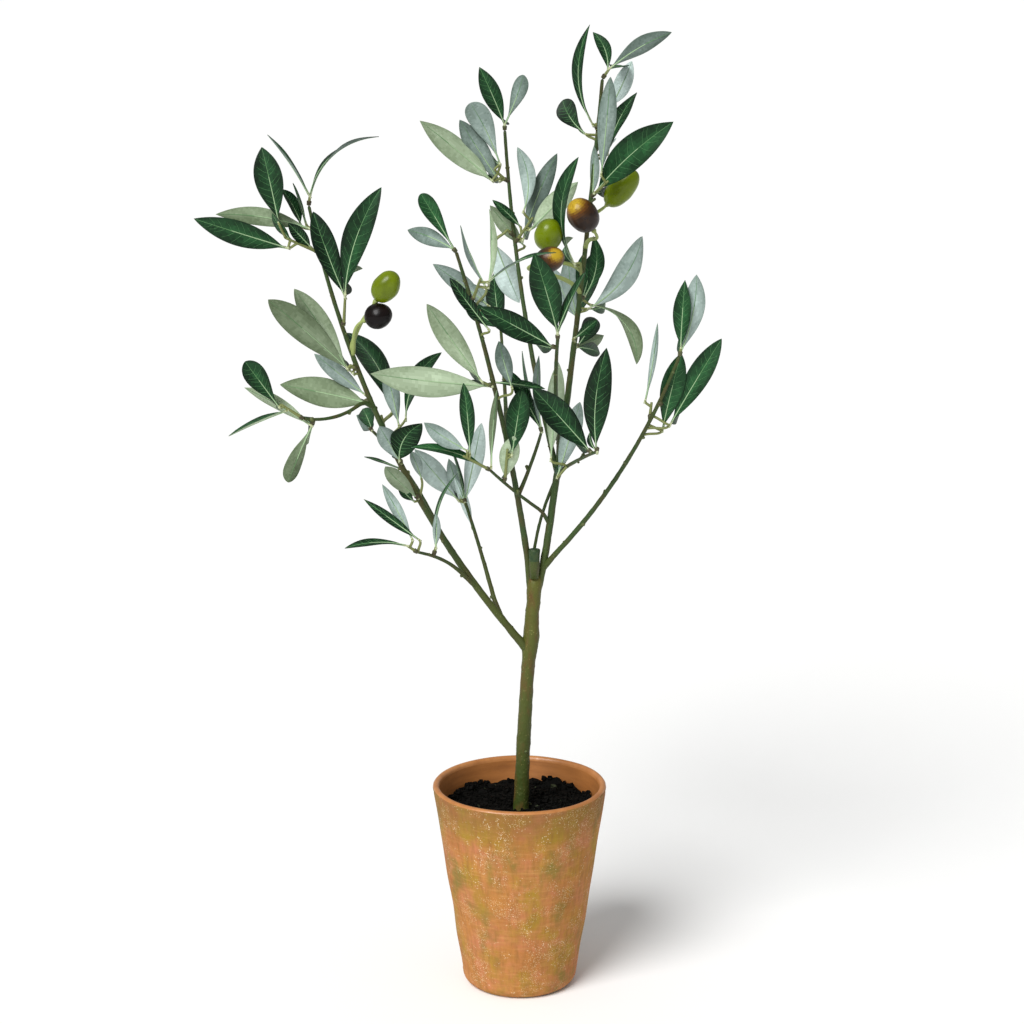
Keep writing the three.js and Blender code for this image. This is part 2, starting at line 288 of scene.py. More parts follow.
def plane_waves(size, count, alike=False):
    """Seeded plane waves of about the given size, or all of exactly that size: wave vectors and phases."""
    vectors = unit(rng.normal(size=(count, 3))) * (2 * np.pi / size)
    if not alike:
        vectors = vectors * rng.uniform(0.6, 1.5, (count, 1))
    return vectors, rng.uniform(0, 2 * np.pi, count)


def swell(points, waves):
    """A smooth height between about -1 and 1: the sum of the waves' sines over the root of their number."""
    vectors, phases = waves
    return np.sin(points @ vectors.T + phases).sum(axis=-1) / math.sqrt(len(phases))


def ripple(points, size):
    """The swell of a few new waves of about the given size."""
    return swell(points, plane_waves(size, RIPPLE_WAVES))


print("a ripple is a sum of", RIPPLE_WAVES, "waves")

# %% [markdown]
# ## Paint and nodes
# Colours are written as they show, from 0 to 255, and turned into the linear values that a shader wants. A
# material is a tree of nodes, and one helper places a node and fills or links its inputs in a single line.

# %% Paint and nodes
def paint(red, green, blue):
    """A colour given as 0 to 255 display values, as the linear colour that a shader wants."""
    share = np.array([red, green, blue]) / 255
    linear = np.where(share <= 0.04045, share / 12.92, ((share + 0.055) / 1.055) ** 2.4)
    return (*linear.tolist(), 1.0)


def filled(tree, placed, inputs):
    """A placed node whose inputs are plain values or other nodes' outputs, which are then linked."""
    for socket, value in inputs.items():
        if isinstance(value, bpy.types.NodeSocket):
            tree.links.new(value, placed.inputs[socket])
        else:
            placed.inputs[socket].default_value = value
    return placed


def node(tree, kind, inputs, **settings):
    """A shader node of a kind, with its settings and inputs."""
    placed = tree.nodes.new("ShaderNode" + kind)
    for key, value in settings.items():
        setattr(placed, key, value)
    return filled(tree, placed, inputs)


def mixed(tree, share, first, second):
    """One colour changed into another by a share from 0 to 1."""
    return node(tree, "Mix", {0: share, 6: first, 7: second}, data_type="RGBA").outputs[2]


def group_of(name, inputs, output):
    """An empty node group with named inputs and one named output; returns it and its two end nodes."""
    group = bpy.data.node_groups.new(name, "ShaderNodeTree")
    for label, kind, value in inputs:
        socket = group.interface.new_socket(label, in_out="INPUT", socket_type="NodeSocket" + kind)
        if value is not None:
            socket.default_value = value
    group.interface.new_socket(output[0], in_out="OUTPUT", socket_type="NodeSocket" + output[1])
    return group, group.nodes.new("NodeGroupInput").outputs, group.nodes.new("NodeGroupOutput").inputs


print("white as a linear colour:", paint(255, 255, 255))

# %% [markdown]
# ## Drifting colour
# Bark, clay, soil and paint share three effects: a colour that drifts between two tints, small scattered
# specks, and a fine grain. Each is a node group with named inputs, built once and reused with other
# numbers, as one would keep three stamps in a drawer. They read Object coordinates, so no unwrapping is
# needed. The first cuts a noise at a level called Cover: below it the first colour shows, above it the
# second, and Sharpness is half the width of the step between them. Scale is the number of clouds to a
# metre.

# %% Drifting colour
drift, given, result = group_of("drifting_colour", [
    ("Place", "Vector", None), ("Scale", "Float", 100.0),
    ("First", "Color", WHITE), ("Second", "Color", BLACK),
    ("Sharpness", "Float", 0.5), ("Cover", "Float", 0.5)], ("Colour", "Color"))
cloud = node(drift, "TexNoise", {
    "Vector": given["Place"], "Scale": given["Scale"], "Detail": 5.0, "Roughness": 0.6})
lower = node(drift, "Math", {0: given["Cover"], 1: given["Sharpness"]}, operation="SUBTRACT")
upper = node(drift, "Math", {0: given["Cover"], 1: given["Sharpness"]}, operation="ADD")
share = node(drift, "MapRange", {
    "Value": cloud.outputs[0], "From Min": lower.outputs[0], "From Max": upper.outputs[0]},
    interpolation_type="SMOOTHSTEP")
drift.links.new(mixed(drift, share.outputs[0], given["First"], given["Second"]), result["Colour"])
print("group:", drift.name)

# %% [markdown]
# ## Scattered specks
# Specks are the small cells of a Voronoi texture, each a dot of the given reach. Dots all over would look
# like print, so a second, coarser noise lets them through only in patches.

# %% Scattered specks
PATCH_EDGE = 0.07
specks, given, result = group_of("scattered_specks", [
    ("Place", "Vector", None), ("Scale", "Float", 800.0), ("Reach", "Float", 0.3), ("Cover", "Float", 0.5),
    ("Patches", "Float", 40.0)], ("Mask", "Float"))
cells = node(specks, "TexVoronoi", {"Vector": given["Place"], "Scale": given["Scale"]})
dots = node(specks, "MapRange", {
    "Value": cells.outputs["Distance"], "From Min": given["Reach"], "From Max": 0.0},
    interpolation_type="SMOOTHSTEP")
patch = node(specks, "TexNoise", {
    "Vector": given["Place"], "Scale": given["Patches"],
    "Detail": 4.0, "Roughness": 0.65, "Distortion": 0.6})
edge = node(specks, "Math", {0: given["Cover"], 1: PATCH_EDGE}, operation="ADD")
where = node(specks, "MapRange", {
    "Value": patch.outputs[0], "From Min": given["Cover"], "From Max": edge.outputs[0]},
    interpolation_type="SMOOTHSTEP")
both = node(specks, "Math", {0: dots.outputs[0], 1: where.outputs[0]}, operation="MULTIPLY")
specks.links.new(both.outputs[0], result["Mask"])
print("group:", specks.name)

# %% [markdown]
# ## Fine grain
# Every surface here is a little rough. The grain is a fine noise with some of a broader one mixed in, and
# gives a height that serves both the bump and the changes in roughness.

# %% Fine grain
BROAD_SHARE = 0.2
grain, given, result = group_of("fine_grain", [
    ("Place", "Vector", None), ("Scale", "Float", 900.0), ("Coarse", "Float", 0.3)], ("Height", "Float"))
fine = node(grain, "TexNoise", {"Vector": given["Place"], "Scale": given["Scale"], "Detail": 3.0})
wide = node(grain, "Math", {0: given["Scale"], 1: BROAD_SHARE}, operation="MULTIPLY")
broad = node(grain, "TexNoise", {"Vector": given["Place"], "Scale": wide.outputs[0], "Detail": 2.0})
height = node(grain, "Mix", {0: given["Coarse"], 2: fine.outputs[0], 3: broad.outputs[0]})
grain.links.new(height.outputs[0], result["Height"])
print("groups:", [group.name for group in bpy.data.node_groups])

# %% [markdown]
# ## A material with grain
# All finishes are made by one function, so that each of them has its grain, its range of roughness and its
# own gloss. The colour is either plain or worked out by nodes. Most of the worked-out ones are clouds of
# two tints.

# %% A material with grain
# the range in which nearly all of a noise's values lie
NOISE_RANGE = (0.3, 0.7)


def use(tree, group, **inputs):
    """A node group placed in a material, with its named inputs filled."""
    placed = tree.nodes.new("ShaderNodeGroup")
    placed.node_tree = group
    return filled(tree, placed, inputs).outputs[0]


def clouds(first, second, scale, sharpness, cover, stretch=(1, 1, 1)):
    """A colour that drifts between two tints, for finish. A small stretch draws the clouds out that way."""
    def worked_out(tree, place):
        drawn_out = node(tree, "Mapping", {"Vector": place, "Scale": stretch}).outputs[0]
        return use(tree, drift, Place=drawn_out, Scale=scale, First=paint(*first), Second=paint(*second),
                   Sharpness=sharpness, Cover=cover)
    return worked_out


def finish(name, colour, rough, gloss, grain_scale, grain_depth, coarse=0.3):
    """A material with a plain or worked-out colour, a range of roughness, a gloss and a grain."""
    material = bpy.data.materials.new(name)
    material.use_nodes = True
    tree = material.node_tree
    shader = tree.nodes["Principled BSDF"]
    place = node(tree, "TexCoord", {}).outputs["Object"]
    height = use(tree, grain, Place=place, Scale=grain_scale, Coarse=coarse)
    worn = node(tree, "MapRange", {
        "Value": height, "From Min": NOISE_RANGE[0], "From Max": NOISE_RANGE[1],
        "To Min": rough[0], "To Max": rough[1]})
    bump = node(tree, "Bump", {"Height": height, "Distance": grain_depth, "Strength": 1.0})
    filled(tree, shader, {
        "Base Color": colour(tree, place) if callable(colour) else colour, "Roughness": worn.outputs[0],
        "Normal": bump.outputs[0], "Specular IOR Level": gloss})
    return material


floor_paper = finish("floor_paper", paint(248, 248, 247), (0.8, 0.9), 0.2, 300, 0.05 * MM)
print("first finish:", floor_paper.name)

# %% [markdown]
# ## The floor
# A real studio floor is a roll of pale paper. A wide plain sheet with a faint grain is enough, and its far
# edge fades into the surround because both are nearly the same white.

# %% Floor
FLOOR_HALF = 150.0
corners = [(x * FLOOR_HALF, y * FLOOR_HALF, 0) for x, y in ((-1, -1), (1, -1), (1, 1), (-1, 1))]
floor_mesh = bpy.data.meshes.new("floor")
floor_mesh.from_pydata(corners, [], [(0, 1, 2, 3)])
floor_mesh.materials.append(floor_paper)
floor = bpy.data.objects.new("floor", floor_mesh)
scene.collection.objects.link(floor)
print("floor half width", FLOOR_HALF, "m")

# %% [markdown]
# ## Reading the frame's rings
# A node of the frame is a bag of loose triangles. Merging its equal corners gives back the solid, and
# counting outwards from one end, ring by ring, gives its centreline: each ring's middle is a point of the
# line, and its mean distance from that point is the thickness. The ends stand out because most edges meet
# there.

# %% Rings of a node
def rings_of(name):
    """The middle, the radius and the points of each ring of a CAD node, counted from its lower end."""
    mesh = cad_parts[name].data
    corners = np.empty(len(mesh.vertices) * 3)
    mesh.vertices.foreach_get("co", corners)
    points, shared = np.unique(corners.reshape(-1, 3).round(6), axis=0, return_inverse=True)
    loops = np.empty(len(mesh.loops), int)
    mesh.loops.foreach_get("vertex_index", loops)
    triangles = shared.ravel()[loops].reshape(-1, 3)
    linked = np.zeros((len(points), len(points)), bool)
    for start, end in ((0, 1), (1, 2), (2, 0)):
        linked[triangles[:, start], triangles[:, end]] = True
    linked |= linked.T
    ends = np.argsort(linked.sum(axis=1))[-2:]
    start = ends[np.argmin(points[ends, 2])]
    step = np.full(len(points), -1)
    step[start] = 0
    while (step < 0).any():
        step[linked[step == step.max()].any(axis=0) & (step < 0)] = step.max() + 1
    rings = [points[step == count] for count in range(step.max() + 1)]
    middles = np.array([ring.mean(axis=0) for ring in rings])
    radii = np.array([np.linalg.norm(ring - middle, axis=1).mean() for ring, middle in zip(rings, middles)])
    return middles, radii, rings


print("the pot has", len(rings_of("pot")[0]), "rings")

# %% [markdown]
# ## The limbs' lines
# Each limb's centreline is read once and kept in even steps, from its thick end to its thin one. The
# frame's rings are few and a little angular, so a low polynomial is laid through them, which bends as a
# wire does.

# %% Limb lines
LIMB_STEPS = 100


def bent_wire(points, count):
    """Evenly spread points of a polynomial of up to the fourth power, laid through a chain of points."""
    share = travelled(points)
    share /= share[-1]
    power = min(4, len(points) - 1)
    even = np.linspace(0, 1, count)
    return np.stack([np.polyval(np.polyfit(share, column, power), even) for column in points.T], axis=-1)


limb_names = [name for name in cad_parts
              if name in ("trunk", "leader") or name.endswith(("_bough", "_twig"))]
limb_paths = {}
limb_radii = {}
for name in limb_names:
    middles, radii, _ = rings_of(name)
    if name != "trunk" and radii[1] < radii[-2]:
        middles, radii = middles[::-1], radii[::-1]
    limb_paths[name] = bent_wire(middles[1:-1], LIMB_STEPS)
    even = np.linspace(0, 1, LIMB_STEPS)
    limb_radii[name] = np.interp(even, np.linspace(0, 1, len(radii) - 2), radii[1:-1])
all_limb_points = np.concatenate([limb_paths[name] for name in limb_names])
for name, path in limb_paths.items():
    print(f"{name}: {travelled(path)[-1] / MM:.0f} mm long")

# %% [markdown]
# ## The sprays' axes
# The pad of a spray is a flat, uneven lump. Of its two ends, the one nearer to a limb is its base, and the
# widest ring shows which way it is flat. So each spray gives a base, an axis, and the direction across the
# axis that lies clockwise from it when it is seen from the front.

# %% Spray axes
def nearest_limb(point, but=()):
    """The name of the limb whose line passes nearest to a point, and the step along it."""
    reach = {name: np.linalg.norm(limb_paths[name] - point, axis=1)
             for name in limb_names if name not in but}
    name = min(reach, key=lambda limb: reach[limb].min())
    return name, int(reach[name].argmin())


spray_names = [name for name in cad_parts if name.startswith("spray_")]
sprays = {}
for name in spray_names:
    middles, radii, rings = rings_of(name)
    ends = middles[[0, -1]]
    gaps = np.linalg.norm(all_limb_points[:, None] - ends, axis=2).min(axis=0)
    base, tip = ends if gaps[0] < gaps[1] else ends[::-1]
    axis = unit(tip - base)
    widest = rings[int(radii.argmax())]
    spokes = widest - widest.mean(axis=0)
    across = spokes[np.linalg.norm(spokes, axis=1).argmax()]
    across = unit(across - axis * (across @ axis))
    clockwise = np.cross([0, 1, 0], axis)
    across = across if across @ clockwise > 0 else -across
    sprays[name.removeprefix("spray_")] = {
        "base": base, "axis": axis, "across": across, "limb": nearest_limb(base)[0]}
print(len(sprays), "sprays, on", len({spray["limb"] for spray in sprays.values()}), "limbs")

# %% [markdown]
# ## The bark's finish
# The trunk and boughs are wires moulded over with green plastic that copies bark. Its green turns brighter
# up the trunk and darker again in the boughs, under brownish clouds where leaves once grew and a few pale
# specks. The green follows the height alone, so the trunk and the boughs match where they meet.

# %% Bark finishes
trunk_foot, fork_height = (corner[2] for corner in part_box("trunk"))
BARK_ROUGH = (0.45, 0.62)
BARK_GLOSS = 0.3
UPRIGHT_STRETCH = (1, 1, 0.35)


def bark_colour(low, high, tinge, speck, from_height, to_height):
    """Two greens that change between two heights, under brownish clouds and pale specks."""
    def worked_out(tree, place):
        height = node(tree, "SeparateXYZ", {0: place}).outputs[2]
        rise = node(tree, "MapRange", {
            "Value": height, "From Min": from_height, "From Max": to_height}).outputs[0]
        green = mixed(tree, rise, paint(*low), paint(*high))
        drawn_out = node(tree, "Mapping", {"Vector": place, "Scale": UPRIGHT_STRETCH}).outputs[0]
        cloudy = use(tree, drift, Place=drawn_out, Scale=170.0, First=green, Second=paint(*tinge),
                     Sharpness=0.14, Cover=0.56)
        dots = use(tree, specks, Place=place, Scale=700.0, Reach=0.28, Cover=0.5, Patches=120.0)
        return mixed(tree, dots, cloudy, paint(*speck))
    return worked_out


trunk_green = bark_colour((54, 68, 22), (86, 88, 30), (92, 68, 30), (150, 144, 84), trunk_foot, fork_height)
bough_green = bark_colour((70, 80, 30), (52, 74, 34), (70, 68, 34), (122, 126, 78), fork_height - 11 * MM,
                          fork_height + 27 * MM)
trunk_bark = finish("bark_trunk", trunk_green, BARK_ROUGH, BARK_GLOSS, 700, 0.5 * MM)
bough_bark = finish("bark_boughs", bough_green, BARK_ROUGH, BARK_GLOSS, 900, 0.3 * MM)
print(trunk_bark.name, bough_bark.name, "from", round(trunk_foot, 3), "to", round(fork_height, 3), "m")

# %% [markdown]
# ## Where the limbs start
# The frame's boughs end a hair short of their parents, because its solids may not overlap. On the real tree
# they grow out of each other. So each line is led on into its parent, down to a point on the parent's own
# line, and the bend that this makes is softened. A bough of the fork starts deeper and nearer to its own
# side.

# %% Lines from inside the parent
LEAD_IN_STEPS = 12
SINKING = {"trunk": 1.4, "bough": 2.0}
CLEAR_OF_PARENT = 2.4
FORK_STEPS = 3
FORK_DEPTHS = (26 * MM, 8 * MM)
FORK_SKIPPED = 4
TRUNK_DEPTH = 8 * MM
RING_GAP = 1.1 * MM
FEWEST_RINGS = 40
MOST_RINGS = 260
LINE_WINDOW = 15


def lead_in(name):
    """The points inside its parent where a limb starts, and how many of its own first points it skips."""
    path, radius = limb_paths[name], limb_radii[name]
    if name == "trunk":
        return [path[0] - [0, 0, TRUNK_DEPTH]], 0
    parent, step = nearest_limb(path[0], but=(name,))
    line, girth = limb_paths[parent], limb_radii[parent]
    reach = np.linalg.norm(line - line[0], axis=1)
    if parent == "trunk" and step > LIMB_STEPS - FORK_STEPS:
        aside = unit((path[FORK_STEPS] - line[-1]) * [1, 1, 0]) * max(girth[-1] - radius[0], 0)
        lower, upper = (line[np.abs(reach - reach[-1] + depth).argmin()] for depth in FORK_DEPTHS)
        return [lower, upper + 0.9 * aside], FORK_SKIPPED
    sinking = SINKING["trunk" if parent == "trunk" else "bough"] * girth[step]
    below = line[:step + 1][reach[:step + 1] <= reach[step] - sinking]
    clear = np.linalg.norm(path - path[0], axis=1) > CLEAR_OF_PARENT * girth[step]
    return [below[-1] if len(below) else line[0]], int(np.argmax(clear))


def limb_line(name):
    """A limb's line from inside its parent to its tip, with the radius and the travel at each point."""
    chain, skipped = lead_in(name)
    path, radius = limb_paths[name][skipped:], limb_radii[name][skipped:]
    start = evenly_spaced(np.array([*chain, path[0]]), LEAD_IN_STEPS)[:-1]
    path = np.concatenate([start, path])
    radius = np.concatenate([np.full(LEAD_IN_STEPS - 1, radius[0]), radius])
    travel = travelled(path)
    steps = int(np.clip(travel[-1] / RING_GAP, FEWEST_RINGS, MOST_RINGS))
    even = np.linspace(0, travel[-1], steps)
    return softened(evenly_spaced(path, steps), LINE_WINDOW), np.interp(even, travel, radius), even


print("the leader's line has", len(limb_line("leader")[0]), "points")

# %% [markdown]
# ## The bark's relief
# The bark's relief is low lumps and a few rough pimples, with a collar where a bough leaves its parent and
# a swelling on the trunk opposite the left bough. A displacement modifier would need a dense mesh
# everywhere, so the relief is worked out in the ring radii instead, and the specks and the grain are left
# to the material.

# %% Bark relief
TIP_FLATNESS = 0.02
joint_height = limb_paths["left_bough"][0, 2] + 1 * MM


def tip_dome(radius, to_tip, is_trunk):
    """The share of the radius left near the tip: a quarter circle, and on the trunk a slow narrowing too."""
    left = to_tip / radius
    dome = np.sqrt(np.clip(left * (2 - left), TIP_FLATNESS, 1) * (left < 1) + (left >= 1))
    return dome * (0.95 - 0.35 * np.exp(-to_tip / (7 * MM))) if is_trunk else dome


def joint_swelling(path, rings):
    """How much the trunk swells to the right at the left bough: a bell over the height times the turn."""
    rise = (path[:, 2] - joint_height) / (9 * MM)
    return 0.22 * np.exp(-rise ** 2)[:, None] * np.clip(unit(rings - path[:, None])[..., 0], 0, 1)


def pimples(rings, count, scale):
    """The height of some small round bumps, each a bell about a seeded point of the rings."""
    spots = rings.reshape(-1, 3)[rng.integers(0, rings.shape[0] * rings.shape[1], count)]
    heights = rng.uniform(0.03, 0.12, count) * scale
    spread = rng.uniform(0.5, 1.1, count) * MM
    gap = np.linalg.norm(rings[:, :, None] - spots, axis=-1)
    return (heights * np.exp(-(gap / spread) ** 2)).sum(axis=-1)


print("the trunk swells most", round(float(joint_height), 3), "m above the floor")

# %% [markdown]
# ## The trunk and boughs
# Each limb is one pipe along its line, and its radius carries the collar, the dome at the tip, the lumps
# and the pimples at once. The trunk is thicker, so it has more points around it, and its pimples are lower
# for its girth.

# %% Trunk and boughs
TRUNK_RELIEF = {"around": 40, "collar": 0.10, "collar_reach": 20 * MM, "pimple": 0.5}
BOUGH_RELIEF = {"around": 18, "collar": 0.32, "collar_reach": 9 * MM, "pimple": 1.0}
TRUNK_PIMPLES = 70
PIMPLE_GAP = 7 * MM


def limb_rings(name):
    """Rings of a limb with bark relief, from inside its parent to its tip.

    Radius = the limb's own radius × (1 + collar) × dome × (1 + swelling) × (1 + lumps + pimples), where the
    collar dies away from the base and the lumps are two smooth ripples.
    """
    is_trunk = name == "trunk"
    relief = TRUNK_RELIEF if is_trunk else BOUGH_RELIEF
    path, radius, travel = limb_line(name)
    collar = relief["collar"] * np.exp(-(travel / relief["collar_reach"]) ** 2)
    thickness = radius * (1 + collar) * tip_dome(radius, travel[-1] - travel, is_trunk)
    plain = pipes(path[None], thickness[None], relief["around"])[0]
    if is_trunk:
        plain = swollen(path, plain, joint_swelling(path, plain))
    lumps = 0.035 * ripple(plain, 11 * MM) + 0.02 * ripple(plain, 4.5 * MM)
    count = TRUNK_PIMPLES if is_trunk else int(travel[-1] / PIMPLE_GAP)
    return swollen(path, plain, lumps + pimples(plain, count, relief["pimple"]))


for name in limb_names:
    points, faces, _ = skins(limb_rings(name)[None])
    bark = trunk_bark if name == "trunk" else bough_bark
    piece("bark_" + name, "bark", [bark], points, faces, nodes=[name])

# %% [markdown]
# ## The stump
# On the real tree a thicker stem was cut off where the boughs part, and its stump has a dark green cap with
# a softly rounded rim. It is turned from a short list of heights and girths, and only the ripple on its
# wall keeps it from looking machined.

# %% Stump
# shares of the stump's height and of its radius, from inside the trunk to the middle of its cap
STUMP_OUTLINE = [(-0.25, 0.8), (0.2, 0.95), (0.5, 0.97), (0.75, 1.0), (0.9, 1.08), (0.96, 1.1), (0.99, 1.04),
                 (1.0, 0.93), (1.0, 0.6), (0.985, 0.25)]
STUMP_AROUND = 24
BARE_ROWS = 2
cut_green = clouds((30, 56, 28), (52, 70, 32), 300.0, 0.2, 0.5)
cut_cap = finish("cut_cap", cut_green, (0.4, 0.55), 0.35, 900, 0.2 * MM)
low, high = (np.array(corner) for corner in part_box("fork_stub"))
stump_radius = (high[0] - low[0]) / 2
stump_middle = (low + high) / 2
rise, girth = np.array(STUMP_OUTLINE).T
line = [*stump_middle[:2], low[2]] + rise[:, None] * [0, 0, high[2] - low[2]]
spokes = np.pad(round_points(STUMP_AROUND), ((0, 0), (0, 1)))
stump = line[:, None] + (girth * stump_radius)[:, None, None] * spokes
stump += 0.04 * stump_radius * (ripple(stump, 5 * MM) * (girth > 0.9)[:, None])[..., None] * spokes
points, faces, marks = skins(stump[None])
looks = np.concatenate([mark[:, 1] for mark in marks]) >= BARE_ROWS
piece("stump", "cut_cap", [bough_bark, cut_cap], points, faces, looks=looks, nodes=["fork_stub"])

# %% [markdown]
# ## The thin stem
# A second thin stem leaves the fork behind the stump and joins the leader higher up. It has no node of its
# own, so it is a bowed pipe between two points of the frame, with a faint ripple on it.

# %% Thin stem
THIN_STEM_STEPS = 40
THIN_STEM_RADIUS = 1.0 * MM
JOINS_LEADER_AT = 20
from_fork = stump_middle + [-1.5 * MM, 5 * MM, -6 * MM]
to_leader = limb_paths["leader"][JOINS_LEADER_AT]
share = np.linspace(0, 1, THIN_STEM_STEPS)[:, None]
bow = np.sin(np.pi * share) * [-2.5 * MM, 2 * MM, 0]
thin_stem = pipes((from_fork + (to_leader - from_fork) * share + bow)[None], THIN_STEM_RADIUS, 12)
thin_stem += 0.1 * MM * ripple(thin_stem, 4 * MM)[..., None]
points, faces, _ = skins(thin_stem)
piece("thin_stem", "bark", [bough_bark], points, faces)

# %% [markdown]
# ## The clay's colour
# The pot is orange clay with patches of salmon, mustard and moss, fine upright and level brush streaks,
# clusters of white specks, and a darker greenish-brown band under its lip. Each patch is the same drifting
# colour laid over the ones before it, moved to a place of its own, and drawn out for the streaks. A painted
# picture would need an unwrapped pot, and its seam would show.

# %% Clay colour
POT_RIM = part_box("pot")[1][2]
# a darker greenish-brown band under the lip: where it starts and where it is full below the rim, and its
# strongest share
DARK_BAND_UNDER_LIP = (32 * MM, 3 * MM)
DARK_BAND_SHARE = 0.6
CLAY_GROUND = (184, 126, 62)
# each layer's move, stretch, scale, tint, sharpness and cover
CLAY_LAYERS = [
    ((0, 0, 0), (1, 1, 1), 34.0, (168, 106, 54), 0.25, 0.5),
    ((3, 1, 2), (1, 1, 1), 42.0, (186, 118, 80), 0.14, 0.52),
    ((7, 5, 1), (1, 1, 1), 46.0, (160, 128, 40), 0.13, 0.57),
    ((1, 9, 4), (1, 1, 0.6), 62.0, (128, 112, 50), 0.12, 0.61),
    ((2, 4, 8), (1, 1, 0.12), 420.0, (142, 98, 48), 0.3, 0.62),
    ((5, 2, 6), (0.15, 0.15, 1), 520.0, (198, 144, 86), 0.3, 0.72),
]


def clay_colour(tree, place):
    """The ground colour and its layers, then a darker greenish-brown band under the lip, which fades out
    downwards, and the specks.
    """
    def moved(move, stretch=(1, 1, 1)):
        return node(tree, "Mapping", {"Vector": place, "Location": move, "Scale": stretch}).outputs[0]
    clay = paint(*CLAY_GROUND)
    for move, stretch, scale, tint, sharpness, cover in CLAY_LAYERS:
        clay = use(tree, drift, Place=moved(move, stretch), Scale=scale, First=clay, Second=paint(*tint),
                   Sharpness=sharpness, Cover=cover)
    height = node(tree, "SeparateXYZ", {"Vector": place}).outputs["Z"]
    near_lip = node(tree, "MapRange", {
        "Value": height, "From Min": POT_RIM - DARK_BAND_UNDER_LIP[0], "From Max": POT_RIM - DARK_BAND_UNDER_LIP[1],
        "To Min": 0.0, "To Max": DARK_BAND_SHARE}, interpolation_type="SMOOTHSTEP").outputs[0]
    # the darker band's own colour, mixed in under the lip and fading out downwards
    dark_band = use(tree, drift, Place=moved((6, 3, 3)), Scale=50.0, First=paint(126, 84, 50),
                 Second=paint(112, 98, 36), Sharpness=0.15, Cover=0.5)
    clay = mixed(tree, near_lip, clay, dark_band)
    dots = use(tree, specks, Place=place, Scale=1150.0, Reach=0.4, Cover=0.5, Patches=62.0)
    sparse = use(tree, specks, Place=place, Scale=820.0, Reach=0.4, Cover=0.56, Patches=110.0)
    return mixed(tree, sparse, mixed(tree, dots, clay, paint(226, 200, 158)), paint(240, 222, 188))


print(len(CLAY_LAYERS), "layers of colour on the clay")

# %% [markdown]
# ## The clay's finishes
# The wall is dry and matt. Inside and on the lip the clay is smoother and plainer, so two simpler finishes
# with a little more gloss are enough there.

# %% Clay finishes
terracotta = finish("terracotta", clay_colour, (0.72, 0.95), 0.25, 520, 0.4 * MM, 0.5)
inside_colour = clouds((170, 110, 56), (136, 84, 40), 90.0, 0.3, 0.52, stretch=(0.3, 0.3, 2.0))
inner_clay = finish("terracotta_inside", inside_colour, (0.42, 0.6), 0.4, 400, 0.2 * MM, 0.5)
lip_colour = clouds((190, 128, 72), (164, 104, 52), 60.0, 0.2, 0.5)
lip_clay = finish("terracotta_lip", lip_colour, (0.3, 0.46), 0.5, 500, 0.3 * MM, 0.5)
print("clay finishes:", terracotta.name, inner_clay.name, lip_clay.name)

# %% [markdown]
# ## The pot
# The pot is thrown clay: an outline turned about a vertical axis, with a rounded lip and a faint groove
# just below it. The outline is read from the frame's own rings, filled in with many points and softened at
# its corners. Then the turned wall is made a little uneven, as the thrower's hands leave it.

# %% Pot
POT_AROUND = 160
OUTLINE_STEPS = 900
KEPT_EACH = 3
GROOVE_BELOW = 4 * MM
GROOVE_HALF = 1.2 * MM
GROOVE_DEPTH = 0.35 * MM
LIP_HEIGHT = 2 * MM
FOOT_HEIGHT = 8 * MM
UNEVENNESS = 0.25 * MM

middles, radii, _ = rings_of("pot")
outline = softened(evenly_spaced(np.stack([radii, middles[:, 2]], axis=-1), OUTLINE_STEPS), 7)
outside = np.arange(OUTLINE_STEPS) < outline[:, 1].argmax()
groove = np.exp(-((outline[:, 1] - (POT_RIM - GROOVE_BELOW)) / GROOVE_HALF) ** 2) * outside
outline[:, 0] -= GROOVE_DEPTH * groove
outline, outside = outline[1:-1:KEPT_EACH], outside[1:-1:KEPT_EACH]
wall = outline[:, None, :1] * round_points(POT_AROUND)
turned = np.concatenate([wall, np.repeat(outline[:, None, 1:], POT_AROUND, 1)], axis=-1)
uneven = UNEVENNESS * ripple(turned, 45 * MM) * (turned[..., 2] > FOOT_HEIGHT)
turned[..., :2] *= 1 + (uneven / np.maximum(outline[:, :1], 20 * MM))[..., None]
points, faces, marks = skins(turned[None])
row = np.concatenate([mark[:, 1] for mark in marks])
looks = np.where(outline[row, 1] > POT_RIM - LIP_HEIGHT, 2, np.where(outside[row], 0, 1))
piece("pot_clay", "terracotta", [terracotta, inner_clay, lip_clay], points, faces,
      looks=looks, nodes=["pot"])

# %% [markdown]
# ## The fill
# The pot is filled with black crumbs that look like soil. A heap of real lumps deep enough to hide the
# pot's floor would cost a great many faces, so one uneven slab closes the pot and climbs its wall here and
# there, and the lumps only lie on it.

# %% Slab
SLAB_AROUND = 140
SLAB_DEPTH = 12 * MM
SETTLED = 1.5 * MM
# the size and the height of each layer of ripples
ROUGHNESS = ((30 * MM, 0.7 * MM), (9 * MM, 0.9 * MM), (3.5 * MM, 0.5 * MM))
CLIMB_FROM = 0.75
soil_brown = clouds((13, 11, 8), (3, 3, 2), 420.0, 0.2, 0.45)
soil = finish("soil", soil_brown, (0.7, 0.95), 0.1, 1200, 0.8 * MM, 0.5)
low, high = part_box("fill")
fill_top = high[2]
fill_radius = (high[0] - low[0]) / 2
rough_waves = [(plane_waves(size, 12), height) for size, height in ROUGHNESS]
edge_waves = plane_waves(16 * MM, 10, alike=True)


def fill_height(x, y):
    """The fill's top at a place: its level, three layers of ripples, and a climb of 2 to 6 mm at the wall.

    The climb grows with the square of the way from CLIMB_FROM of the radius to the wall.
    """
    flat = np.stack([x, y, 0 * x], axis=-1)
    rough = sum(height * swell(flat, waves) for waves, height in rough_waves)
    climb = (3.6 + 1.1 * swell(flat, edge_waves)) * MM
    near_wall = np.clip((np.hypot(x, y) / fill_radius - CLIMB_FROM) / (1 - CLIMB_FROM), 0, 1)
    return fill_top - SETTLED + rough + climb * near_wall ** 2


